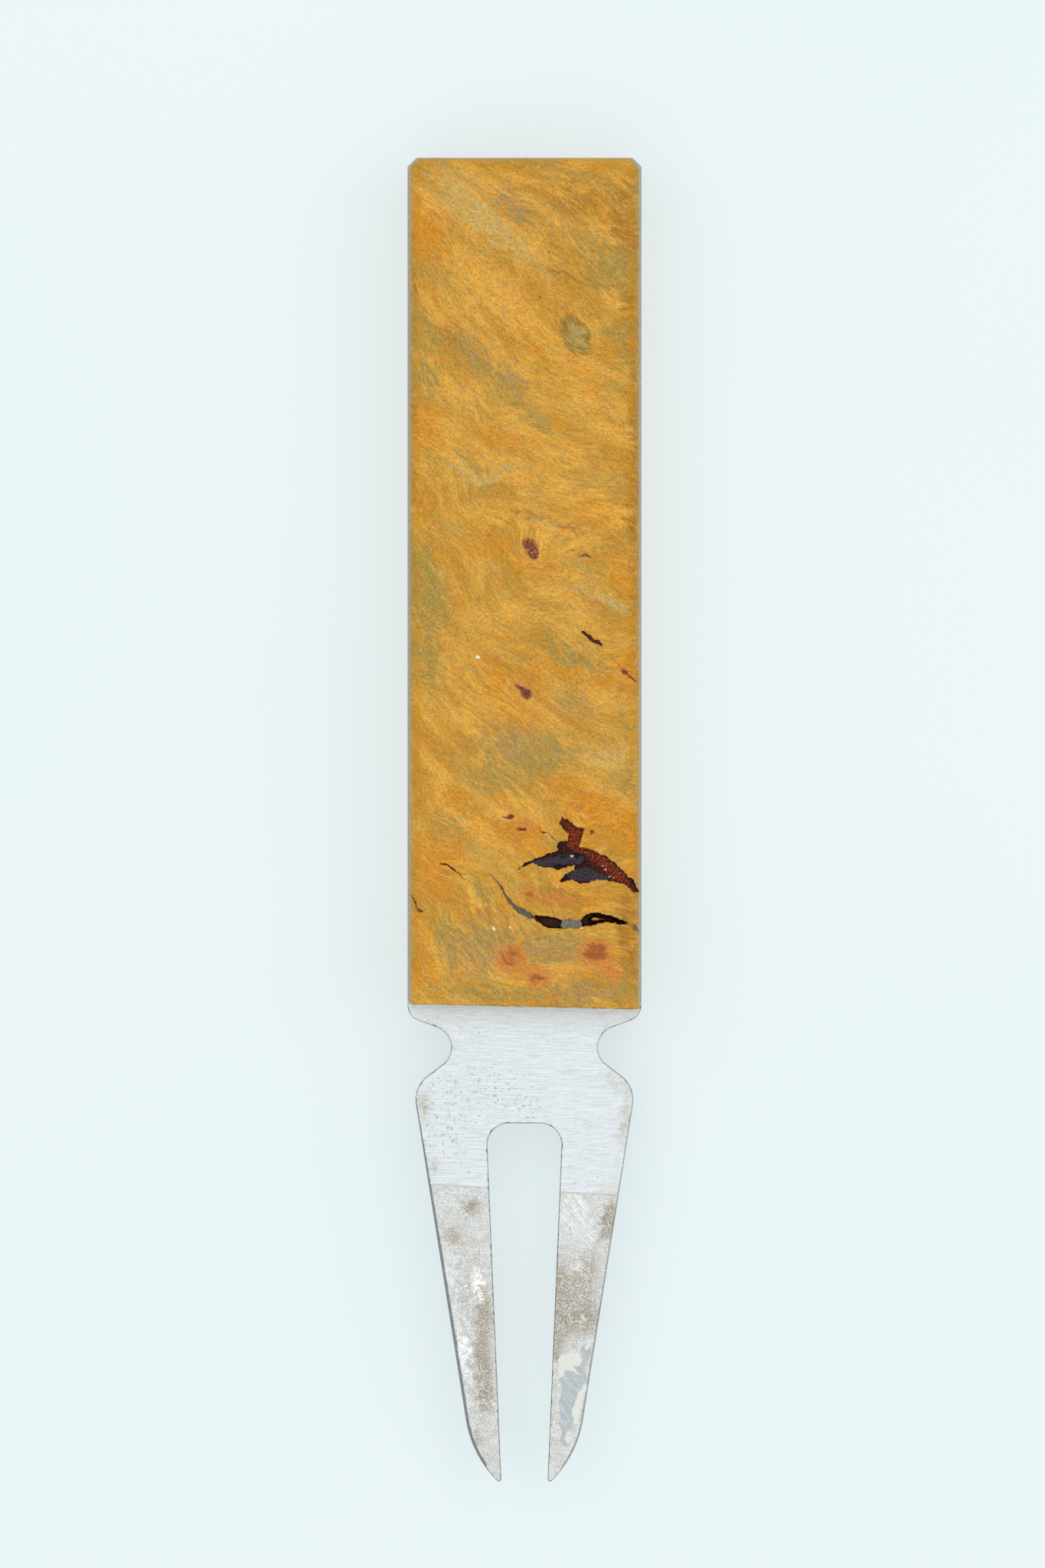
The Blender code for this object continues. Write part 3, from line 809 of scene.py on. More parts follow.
@dataclass(frozen=True)
class BarkFinish(Finish):
    """Bark caught in the burl, set in dark casting resin."""

    bark: Colour = srgb(90, 24, 10)
    rust: Colour = srgb(162, 66, 26)
    soot: Colour = srgb(24, 8, 8)
    resin: Colour = srgb(66, 58, 68)
    pore: Colour = srgb(8, 6, 6)
    fleck: Colour = srgb(216, 190, 184)
    leaves: Patches = ovals(
        (1.6, -3.45, 1.5, 0.26, 10), (3, -3.25, 1.5, 0.42, 6), (4.1, -3.2, 0.8, 0.36, -10, 0.8),
        (4.6, -4.55, 1.3, 0.42, -2), (5.7, -4.65, 1.2, 0.3, -6), (4.9, -4.15, 0.7, 0.3, 0, 0.9),
    )
    flecks: Patches = ovals(
        (3.85, -2.95, 0.2, 0.12), (6.6, -4, 0.12, 0.09, 0, 0.9), (7.2, -4.75, 0.1, 0.08, 0, 0.9),
        (6.4, -3.75, 0.1, 0.07, 0, 0.8), (6.9, -4.6, 0.08, 0.07, 0, 0.8),
        (7.7, -4.3, 0.08, 0.06, 0, 0.7),
    )
    pores: Patches = ovals((4.25, -2.93, 0.28, 0.2, 0, 1.3), (3.2, -2.95, 0.4, 0.1, 5))
    rusty: Patches = ovals(
        (3, 0.4, 0.5, 0.9, 0, 0.9), (4.2, -0.9, 0.9, 1), (4.6, -2.1, 1.4, 0.5, -20),
        (6.6, -3.4, 1.8, 0.7, -30, 0.8), (8.2, -5.6, 1.9, 0.7, -50),
    )

    def paint(self, surface: Surface) -> bpy.types.Material:
        """Lay soot, bark and rust, then leaves of resin, pores and flecks.

        Args:
            surface: The surface.

        Returns:
            The material.
        """
        graph = surface.graph
        ragged = surface.moved(graph.shake(surface.place, 2.6, 3.0), 0.5)
        grain = graph.noise(surface.place, 5.5, 5.0, 0.8)
        zone = graph.span(surface.sum_of(self.rusty, ragged), 0.1, 0.8, -0.05, 0.05)
        mixed = graph.math("MULTIPLY_ADD", graph.attribute("core"), 0.05, grain)
        mixed = graph.math("ADD", mixed, zone)
        surface.base(graph.span(mixed, 0.46, 0.60), self.soot, self.bark)
        surface.fade(mixed, 0.55, 0.68, self.rust)
        leaves = surface.sum_of(self.leaves, ragged)
        surface.fade(leaves, 0.25, 0.42, self.soot, 0.7)
        leaf = graph.span(leaves, 0.42, 0.56)
        surface.over(leaf, graph.mix(graph.span(grain, 0.45, 0.62), self.resin, self.soot))
        surface.mark(self.pores, ragged, 0.4, 0.5, self.pore)
        surface.specks(0.5, 0.05, 0.10, self.rust)
        surface.mark(self.flecks, ragged, 0.4, 0.5, self.fleck)
        rough = graph.span(leaf, 0.0, 1.0, 0.6, 0.4)
        return surface.finish(rough, grain, 0.08, 0.8, Specular_IOR_Level=0.15)


@dataclass(frozen=True)
class CastResinFinish(Finish):
    """Grey casting resin in the long crack."""

    resin: Colour = srgb(98, 92, 84)
    dusty: Colour = srgb(134, 126, 108)
    dark: Colour = srgb(48, 38, 32)
    fleck: Colour = srgb(206, 198, 186)

    def paint(self, surface: Surface) -> bpy.types.Material:
        """Lay clouds of dust in the resin, and dark and pale specks."""
        graph = surface.graph
        cloud = graph.noise(surface.place, 4.5, 5.0, 0.8)
        surface.base(graph.span(cloud, 0.40, 0.6), self.resin, self.dusty)
        surface.specks(0.5, 0.08, 0.35, self.dark)
        surface.specks(0.38, 0.05, 0.14, self.fleck)
        rough = graph.span(cloud, 0.2, 0.8, 0.32, 0.5)
        return surface.finish(rough, cloud, 0.05, 0.6, Specular_IOR_Level=0.2)


@dataclass(frozen=True)
class EpoxyFinish(Finish):
    """The thin dark line of epoxy between wood and steel."""

    epoxy: Colour = srgb(66, 46, 30)
    grime: Colour = srgb(30, 22, 20)

    def paint(self, surface: Surface) -> bpy.types.Material:
        """Lay clouds of grime in the epoxy."""
        graph = surface.graph
        cloud = graph.noise(surface.place, 1.8, 4.0, 0.6)
        surface.base(graph.span(cloud, 0.35, 0.65), self.epoxy, self.grime)
        return surface.finish(graph.span(cloud, 0.2, 0.8, 0.3, 0.55), cloud, 0.03, 0.5)


@dataclass(frozen=True)
class BrassFinish(Finish):
    """Plain brass pins, hidden in the wood."""

    brass: Colour = srgb(206, 168, 92)
    tarnish: Colour = srgb(150, 112, 62)

    def paint(self, surface: Surface) -> bpy.types.Material:
        """Lay tarnish on turned brass."""
        graph = surface.graph
        ground = graph.group(surface.groups.grinding, Position=surface.place, Turn=0.3)
        cloud = ground.outputs["Cloud"]
        surface.base(graph.span(cloud, 0.4, 0.7), self.brass, self.tarnish)
        rough = graph.span(cloud, 0.2, 0.8, 0.25, 0.45)
        return surface.finish(rough, ground.outputs["Lines"], 0.01, 0.4, Metallic=1.0)


@dataclass(frozen=True)
class SteelFinish(Finish):
    """Bare steel, belt-ground across the tool, stained and scraped on the tines."""

    steel: Colour = srgb(214, 217, 217)
    shade: Colour = srgb(182, 186, 187)
    # bright serves the worn white spots and scratches, and also the painted glints on the tines
    bright: Colour = srgb(242, 243, 243)
    pit: Colour = srgb(146, 144, 138)
    beige: Colour = srgb(184, 177, 164)
    stain: Colour = srgb(168, 154, 134)
    rust: Colour = srgb(124, 102, 78)
    # bevel: painted shade for the plate's edges, laid where the rim values stored on the plate ask for it
    bevel: Colour = srgb(128, 131, 134)
    ragged: Colour = srgb(92, 87, 83)
    cream: Colour = srgb(236, 234, 224)
    slate: Colour = srgb(177, 187, 191)
    across_turn: float = 0.01
    length_turn: float = 1.54
    scratch_turn: float = math.radians(50)
    grind_y: float = -30.15
    grind_slope: float = math.tan(math.radians(-3.4))
    aged: Patches = ovals(
        (-4.5, -36, 2.6, 5, 6, 0.6), (-3.6, -44, 1.6, 7, 8, 0.8), (4.2, -39, 2.2, 4.2, -6, 0.9),
        (6.6, -33, 1.4, 3, -8, 0.8), (3, -50, 1.4, 3, -10, 0.6), (-3.6, -51, 1, 2.6, 20, 0.7),
        (8.2, -24.6, 0.7, 3.4, -8, 0.55), (7.4, -21.2, 1.6, 1.2, 0, 0.4),
        (-8.2, -23.4, 0.8, 1.6, 0, 0.6), (-7.6, -28.2, 0.9, 1, 0, 0.5),
    )
    browned: Patches = ovals(
        (-4.3, -31.6, 1, 0.8, 0, 0.9), (-5.8, -34, 1.2, 1.2, 0, 0.7), (-3.2, -40, 0.9, 2.4, 4, 0.8),
        (-3.4, -44.4, 0.9, 2.6, 6), (-3.2, -47.4, 1, 1.2, 0, 0.7), (-3.8, -50.2, 0.6, 1.2, 16, 0.5),
        (7, -32.6, 0.9, 1.9, -8), (3, -39.4, 0.8, 3.2, 0, 0.9), (4.4, -38.8, 1.8, 3.4, 0, 0.6),
        (5, -40.6, 1.4, 1.6, 0, 0.6), (5.4, -36.4, 1, 1.4, 0, 0.4), (2.6, -43.4, 0.5, 1.8, 0, 0.7),
        (8.5, -24.4, 0.4, 2, -8, 0.4), (-8.3, -23.2, 0.5, 1, 0, 0.5), (-7.4, -28.6, 0.4, 0.5, 0, 0.6),
    )
    whitened: Patches = ovals(
        (-3.9, -37.4, 0.5, 1.2), (-3.6, -39, 0.3, 0.9, 10, 0.9), (-5, -43.6, 0.6, 2, 10),
        (-6.4, -31, 1, 0.5, 10, 0.6), (-6.6, -37.6, 0.4, 2.4, 9, 0.4), (7, -37, 0.4, 2.6, -9, 0.5),
        (4.6, -41, 0.5, 0.6, 0, 0.5), (-2.6, -47.6, 0.4, 0.3, 0, 0.7), (4.4, -36.6, 1.2, 0.7, 10, 0.5),
    )
    slanted: Patches = ovals(
        (4, -32, 1.6, 1.8), (5.2, -34, 1, 1.4, 0, 0.7), (-6, -36.5, 1, 2, 0, 0.6),
        (4, -38.5, 1.4, 2.6, 0, 0.4), (-5, -41, 0.9, 1.8, 0, 0.6),
    )
    scraped: Patches = ovals(
        (3.6, -44.1, 1, 0.8), (5, -43.4, 0.55, 1.1, -14, 0.9), (4, -45.6, 1.3, 0.9, -10),
        (3.8, -47.2, 1.1, 1.3, -10), (3.6, -49, 0.8, 1.3, -14), (3.4, -50.6, 0.45, 0.6, -20, 0.9),
    )
    creamy: Patches = ovals(
        (3.7, -44.05, 1.1, 0.75, 10, 1.2), (5.2, -42.8, 0.3, 0.5, -20, 0.9),
        (2.9, -45, 0.35, 0.6, 0, 0.9), (4.75, -46.9, 0.35, 1.1, -14, 1.1),
        (4.4, -48.4, 0.5, 1.1, -14, 1.2), (3.6, -50.4, 0.35, 0.7, -20, 0.9),
        (4.1, -45, 0.9, 0.12, -25, 0.7),
    )
    pitted: Patches = ovals(
        (-6.6, -24.6, 2.4, 4.4, 6), (-2.6, -21.6, 3.4, 2.4, 0, 0.8), (0, -23.6, 2.4, 0.9, 0, 0.8),
        (-5, -16.6, 3.6, 1.2, 0, 0.5), (7, -32.8, 1, 1.6, 0, 0.9),
    )

    def paint(self, surface: Surface) -> bpy.types.Material:
        """Lay grinding lines, age, pits and paint on the steel, with painted glints on the tines and painted
        shade on the bevels.

        Args:
            surface: The surface.

        Returns:
            The material.
        """
        graph, place = surface.graph, surface.place
        across, length, crossed = (
            graph.group(surface.groups.grinding, Position=place, Turn=turn)
            for turn in (self.across_turn, self.length_turn, self.scratch_turn)
        )
        lines = across.outputs["Lines"]
        shake = graph.shake(place, 1.5, 5.0)
        ragged = surface.moved(shake, 1.5)
        mottle = graph.noise(place, 1.5, 5.0, 0.72)
        fine = graph.noise(place, 8.0, 3.0, 0.75)
        x, y, _ = graph.split(place)
        below = graph.math("SUBTRACT", graph.math("MULTIPLY_ADD", x, self.grind_slope, self.grind_y), y)
        tine = graph.span(below, -0.05, 0.1)

        surface.base(graph.span(lines, 0.40, 0.58), self.shade, self.steel)
        surface.over(graph.times(across.outputs["Scratches"], 0.45), self.bright)
        surface.fade(fine, 0.52, 0.64, self.shade, 0.35)
        surface.fade(mottle, 0.52, 0.68, self.shade, 0.35)
        # painted glints along the lengthways lines on the tines
        surface.over(graph.times(tine, graph.span(length.outputs["Lines"], 0.5, 0.66, 0.0, 0.4)), self.bright)
        speckle = graph.math("MULTIPLY_ADD", fine, 0.68, graph.times(mottle, 0.32))
        aged, brown = self.lay_age(surface, ragged, tine, speckle, fine)
        slanted = surface.mask(self.slanted, ragged, 0.1, 0.8, 0.6)
        slanted = graph.times(slanted, graph.span(crossed.outputs["Lines"], 0.50, 0.56))
        surface.over(graph.times(slanted, tine), self.bright)
        pit_zone = surface.mask(self.pitted, place, 0.1, 0.9, 0.08)
        pit = graph.math("ADD", graph.noise(place, 3.4, 5.0, 0.7), pit_zone)
        pit = graph.span(pit, 0.62, 0.76, 0.0, 0.6)
        surface.over(pit, self.pit)
        surface.specks(0.6, 0.09, 0.16, self.pit, 0.5, ragged)
        surface.specks(0.38, 0.07, 0.1, self.ragged, graph.span(brown, 0.3, 0.7))

        painted = surface.moved(shake, 0.8)
        paint = surface.mask(self.scraped, painted, 0.44, 0.60)
        paint = graph.times(paint, graph.span(graph.noise(ragged, 2.6, 4.0, 0.7), 0.56, 0.66, 1.0, 0.15))
        cream = surface.mask(self.creamy, painted, 0.35, 0.65)
        streak = graph.span(crossed.outputs["Lines"], 0.46, 0.58, 0.0, 0.5)
        surface.over(paint, graph.mix(graph.math("MAXIMUM", cream, streak), self.slate, self.cream))
        line = graph.times(graph.span(below, -0.12, 0.0), graph.span(below, 0.14, 0.02))
        surface.over(graph.times(line, 0.4), self.pit)
        # painted shade on the bevels, by the rim values stored on the plate
        surface.over(graph.attribute("rim"), self.bevel)
        surface.over(graph.attribute("burr"), self.ragged)

        tarnish = graph.math("MAXIMUM", graph.times(brown, 0.6), graph.times(aged, 0.4))
        dull = graph.math("MAXIMUM", tarnish, paint)
        dulled = graph.times(graph.math("MAXIMUM", dull, pit), 0.2)
        rough = graph.math("ADD", graph.span(lines, 0.25, 0.75, 0.32, 0.52), dulled)
        height = graph.math("MULTIPLY_ADD", pit, -1.5, lines)
        height = graph.math("MULTIPLY_ADD", mottle, graph.times(tine, 1.2), height)
        metal = graph.span(dull, 0.0, 1.0, 1.0, 0.1)
        return surface.finish(rough, height, 0.012, 0.55, Metallic=metal)

    def lay_age(
        self, surface: Surface, ragged: Socket, tine: Socket, speckle: Socket, fine: Socket
    ) -> tuple[Socket, Socket]:
        """Lay the tines' grey-brown age and the spots where it has worn white.

        Args:
            surface: The surface.
            ragged: Where to read the ovals.
            tine: Mask of the tines.
            speckle: Noise that breaks the age up.
            fine: Finer noise.

        Returns:
            How aged and how browned the steel is.
        """
        graph = surface.graph
        worn = graph.span(speckle, 0.42, 0.56)
        aged = surface.mask(self.aged, ragged, 0.05, 0.8)
        aged = graph.times(graph.math("MAXIMUM", aged, graph.times(tine, 0.72)), worn)
        surface.over(aged, self.beige)
        brown = surface.mask(self.browned, ragged, 0.1, 0.95)
        brown = graph.times(brown, graph.span(worn, 0.0, 0.8, 0.3, 0.95))
        surface.over(brown, self.stain)
        surface.over(graph.times(brown, graph.span(fine, 0.52, 0.68, 0.0, 0.6)), self.rust)
        white = surface.mask(self.whitened, ragged, 0.15, 0.95, 0.85)
        surface.over(graph.times(white, graph.span(speckle, 0.56, 0.44, 0.15, 1.0)), self.bright)
        return aged, brown


@dataclass(frozen=True)
class FloorFinish(Finish):
    """A pale lit table."""

    pale: Colour = srgb(158, 161, 154)
    tint: Colour = srgb(155, 159, 153)
    lit: Colour = srgb(237, 248, 254)
    glow: float = 0.625

    def paint(self, surface: Surface) -> bpy.types.Material:
        """Lay two pale tints in broad clouds."""
        graph = surface.graph
        cloud = graph.noise(surface.place, 0.012, 2.0)
        surface.base(graph.span(cloud, 0.4, 0.6), self.pale, self.tint)
        glow = {"Emission_Color": self.lit, "Emission_Strength": self.glow}
        return surface.finish(0.9, None, 0.0, 0.0, Specular_IOR_Level=0.1, **glow)


# ---------------------------------------------------------------------------
# Outlines and meshes
# ---------------------------------------------------------------------------


@dataclass(frozen=True)
class Corner:
    """A corner of an outline and the radius of its fillet."""

    x: float
    y: float
    radius: float = 0.0

    def place(self) -> Vector:
        """Return the corner's place."""
        return Vector((self.x, self.y))


def fillet(before: Corner, corner: Corner, after: Corner, step: float) -> list[Point]:
    """Round one corner.

    Args:
        before: The corner before it.
        corner: The corner.
        after: The corner after it.
        step: Longest run between two points of the arc.

    Returns:
        The arc's points.
    """
    place = corner.place()
    if corner.radius == 0:
        return [(corner.x, corner.y)]
    back = (before.place() - place).normalized()
    ahead = (after.place() - place).normalized()
    half_angle = back.angle(ahead) / 2
    centre = place + (back + ahead).normalized() * corner.radius / math.sin(half_angle)
    reach = corner.radius / math.tan(half_angle)
    start = place + back * reach - centre
    turn = start.angle_signed(place + ahead * reach - centre)
    count = max(5, math.ceil(abs(turn) * corner.radius / step))
    points = []
    for index in range(count + 1):
        spun = centre + Matrix.Rotation(-turn * index / count, 2) @ start
        points.append((spun.x, spun.y))
    return points


def rounded_outline(corners: Sequence[Corner], step: float) -> list[Point]:
    """Round every corner of an outline.

    Args:
        corners: The corners in order.
        step: Longest run between two points of an arc.

    Returns:
        The outline's points.
    """
    points: list[Point] = []
    for index, corner in enumerate(corners):
        after = corners[(index + 1) % len(corners)]
        points.extend(fillet(corners[index - 1], corner, after, step))
    return points


def divided(points: Sequence[Point], step_at: Callable[[Point], float]) -> np.ndarray:
    """Divide the long runs of a closed outline.

    Args:
        points: The outline.
        step_at: Gives the longest run wanted about a point.

    Returns:
        The points, with the new ones between them.
    """
    made = []
    for index, point in enumerate(points):
        ahead = points[(index + 1) % len(points)]
        length = math.dist(point, ahead)
        if length < TINY:
            continue
        middle = ((point[0] + ahead[0]) / 2, (point[1] + ahead[1]) / 2)
        step = min(step_at(place) for place in (point, middle, ahead))
        count = max(1, math.ceil(length / step))
        for part in range(count):
            share = part / count
            made.append(tuple(a + (b - a) * share for a, b in zip(point, ahead)))
    return np.array(made)


def outward(points: np.ndarray) -> np.ndarray:
    """Return the outward normals of an outline that runs anticlockwise."""
    along = np.roll(points, -1, axis=0) - np.roll(points, 1, axis=0)
    normal = np.stack([along[:, 1], -along[:, 0]], axis=1)
    return normal / np.linalg.norm(normal, axis=1, keepdims=True)


def inside_distance(points: np.ndarray, outline: Sequence[Point] | np.ndarray) -> np.ndarray:
    """Measure how far points lie inside a closed outline.

    Args:
        points: The points, one a row.
        outline: The outline's corners.

    Returns:
        The distance to the outline, positive inside it and negative outside.
    """
    corners = np.array(outline)
    nearest = np.full(len(points), np.inf)
    inside = np.zeros(len(points), dtype=bool)
    for start, end in zip(corners, np.roll(corners, -1, axis=0)):
        run = end - start
        share = np.clip((points - start) @ run / (run @ run), 0, 1)
        foot = start + share[:, None] * run
        nearest = np.minimum(nearest, np.linalg.norm(points - foot, axis=1))
        crosses = (start[1] > points[:, 1]) != (end[1] > points[:, 1])
        rise = end[1] - start[1] if end[1] != start[1] else TINY
        at_x = start[0] + (points[:, 1] - start[1]) / rise * run[0]
        inside ^= crosses & (points[:, 0] < at_x)
    return np.where(inside, nearest, -nearest)


def wobble(points: np.ndarray, scale: float, seed: float, octaves: int = 3) -> np.ndarray:
    """Return smooth noise at points, about -1 to 1.

    Args:
        points: The points, one a row, in millimetres.
        scale: Waves per millimetre.
        seed: Shifts the pattern.
        octaves: How many finer layers to add.

    Returns:
        The noise of each point.
    """
    values = []
    for point in points:
        place = Vector((point[0] * scale, point[1] * scale, seed))
        values.append(noise.fractal(place, 0.8, 2.0, octaves))
    return np.array(values)


def in_rows(*parts: np.ndarray) -> np.ndarray:
    """Return coordinates as points, one a row."""
    return np.column_stack([part.ravel() for part in parts])


def in_scene(name: str, data: bpy.types.ID) -> bpy.types.Object:
    """Make an object of a mesh, light or camera and put it in the scene."""
    made = bpy.data.objects.new(name, data)
    bpy.context.scene.collection.objects.link(made)
    return made


def eased(share: np.ndarray) -> np.ndarray:
    """Clip shares to 0 and 1 and smooth their start and end."""
    share = np.clip(share, 0, 1)
    return share * share * (3 - 2 * share)


class MeshDraft:
    """Points, faces and point values of a mesh in the making, in millimetres."""

    def __init__(self) -> None:
        """Start empty."""
        self.points: list[np.ndarray] = []
        self.count = 0
        self.faces: list[tuple[int, ...]] = []
        self.values: dict[str, list[np.ndarray]] = {}

    def add_points(self, points: np.ndarray, **values: np.ndarray) -> np.ndarray:
        """Add points.

        Args:
            points: The points, one a row.
            values: Values to store on them, by name.

        Returns:
            The new points' numbers.
        """
        first = self.count
        self.points.append(np.asarray(points, dtype=float).reshape(-1, 3))
        added = len(self.points[-1])
        self.count += added
        for name in set(values) | set(self.values):
            stored = self.values.setdefault(name, [np.zeros(first)] if first else [])
            stored.append(np.broadcast_to(values.get(name, 0.0), added).astype(float))
        return np.arange(first, first + added)

    def add_face(self, *numbers: int) -> None:
        """Add a face on points given by their numbers."""
        self.faces.append(tuple(int(number) for number in numbers))

    def add_band(self, low: np.ndarray, high: np.ndarray) -> None:
        """Join two closed rows of points with quads.

        Args:
            low: Numbers of the first row, anticlockwise as seen from where the band faces.
            high: Numbers of the second row.
        """
        for face in zip(low, np.roll(low, -1), np.roll(high, -1), high):
            self.add_face(*face)

    def add_grid(self, numbers: np.ndarray, flip: bool = False) -> None:
        """Join a grid of points with quads.

        Args:
            numbers: The points' numbers, a row for each y and a column for each x.
            flip: Turn the faces over.
        """
        a, b = numbers[:-1, :-1].ravel(), numbers[:-1, 1:].ravel()
        c, d = numbers[1:, 1:].ravel(), numbers[1:, :-1].ravel()
        quads = np.stack([a, d, c, b] if flip else [a, b, c, d], axis=1)
        self.faces.extend(map(tuple, quads.tolist()))

    def make(self, name: str, material: bpy.types.Material, sharp: float = 40.0) -> bpy.types.Object:
        """Make the object.

        Args:
            name: Its name.
            material: Its material.
            sharp: Faces that meet at more than this many degrees get a crisp edge.

        Returns:
            The object, in the scene.
        """
        mesh = bpy.data.meshes.new(name)
        mesh.from_pydata((np.concatenate(self.points) * MM).tolist(), [], self.faces)
        for label, parts in self.values.items():
            layer = mesh.attributes.new(label, "FLOAT", "POINT")
            layer.data.foreach_set("value", np.concatenate(parts).astype(np.float32))
        mesh.materials.append(material)
        mesh.validate()
        builder = bmesh.new()
        builder.from_mesh(mesh)
        bmesh.ops.recalc_face_normals(builder, faces=builder.faces)
        builder.to_mesh(mesh)
        builder.free()
        mesh.shade_smooth()
        mesh.set_sharp_from_angle(angle=math.radians(sharp))
        return in_scene(name, mesh)


def settle(piece: bpy.types.Object, slot: str, *nodes: str) -> bpy.types.Object:
    """Tie a piece to the tool's body and hide the CAD nodes it stands for.

    Args:
        piece: The piece.
        slot: Not used.
        nodes: The CAD nodes.

    Returns:
        The piece.
    """
    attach(piece, ROOT)
    if nodes:
        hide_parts(*nodes)
    LOG.info("%s: %d faces, for %s", piece.name, len(piece.data.polygons), ", ".join(nodes))
    return piece


# ---------------------------------------------------------------------------
# The handle
# ---------------------------------------------------------------------------


@dataclass(frozen=True)
class Flaw:
    """A natural hollow in the burl, outlined from the middle of the scale's lower end."""

    outline: tuple[Point, ...]
    depth: float
    fray: float
    seed: float
    fill_depth: float
    fill_from: float = -99.0
    fill_to: float = 99.0
    island: tuple[Point, ...] = ()
    wall: float = 0.16
    island_wall: float = 0.2
    island_height: float = 0.96

    def reach(self, points: np.ndarray) -> np.ndarray:
        """Return how far inside the frayed outline points lie."""
        fray = wobble(points, 2.2, self.seed, 3) + 0.6 * wobble(points, 6.0, self.seed + 5.0, 2)
        return inside_distance(points, self.outline) + self.fray * fray

    def drop(self, points: np.ndarray) -> np.ndarray:
        """Return how deep the hollow is at points."""
        sunk = self.depth * eased(self.reach(points) / self.wall)
        if self.island:
            inside = inside_distance(points, self.island) / self.island_wall
            sunk = sunk * (1 - self.island_height * eased(0.5 + inside))
        return sunk


BARK_VOID = Flaw(
    outline=(
        (-0.50, 11.15), (0.00, 11.55), (0.90, 12.00), (1.90, 12.40), (2.70, 12.65),
        (2.65, 13.30), (3.50, 13.50), (3.60, 14.00), (3.00, 14.60), (2.80, 15.00),
        (3.05, 15.35), (3.90, 14.90), (4.30, 14.50), (4.90, 14.50), (4.40, 13.00),
        (5.20, 12.80), (6.20, 12.40), (7.20, 11.80), (8.00, 11.00), (8.80, 10.20),
        (9.30, 9.35), (8.90, 9.25), (8.20, 9.90), (7.40, 10.15), (6.00, 10.35),
        (5.20, 10.10), (4.60, 9.95), (4.00, 10.30), (2.80, 10.10), (3.30, 10.70),
        (4.10, 11.10), (4.10, 11.45), (3.00, 11.20), (2.60, 11.05), (2.40, 11.25),
        (1.50, 11.30), (0.60, 11.70),
    ),
    depth=1.2,
    fray=0.09,
    seed=3.1,
    fill_depth=0.05,
)
LONG_CRACK = Flaw(
    outline=(
        (0.75, 7.45), (1.30, 7.40), (1.90, 7.30), (3.00, 7.08), (4.55, 7.05),
        (5.00, 7.50), (5.50, 7.66), (6.20, 7.55), (6.80, 7.42), (7.40, 7.22), (8.00, 7.02),
        (8.40, 6.70), (7.80, 6.66), (7.00, 6.80), (6.30, 6.78), (5.60, 6.62), (4.95, 6.50),
        (4.20, 6.38), (3.00, 6.30), (2.00, 6.35), (1.35, 6.65), (0.95, 7.05),
    ),
    depth=1.1,
    fray=0.07,
    seed=8.4,
    fill_depth=0.10,
    fill_from=2.95,
    fill_to=4.70,
    island=((5.25, 7.05), (5.60, 7.32), (6.20, 7.22), (6.90, 7.12), (7.50, 6.98), (6.80, 7.0),
            (6.20, 6.98), (5.60, 6.88)),
)


class Facing(Enum):
    """Which way a face looks."""

    UP = 1
    DOWN = -1


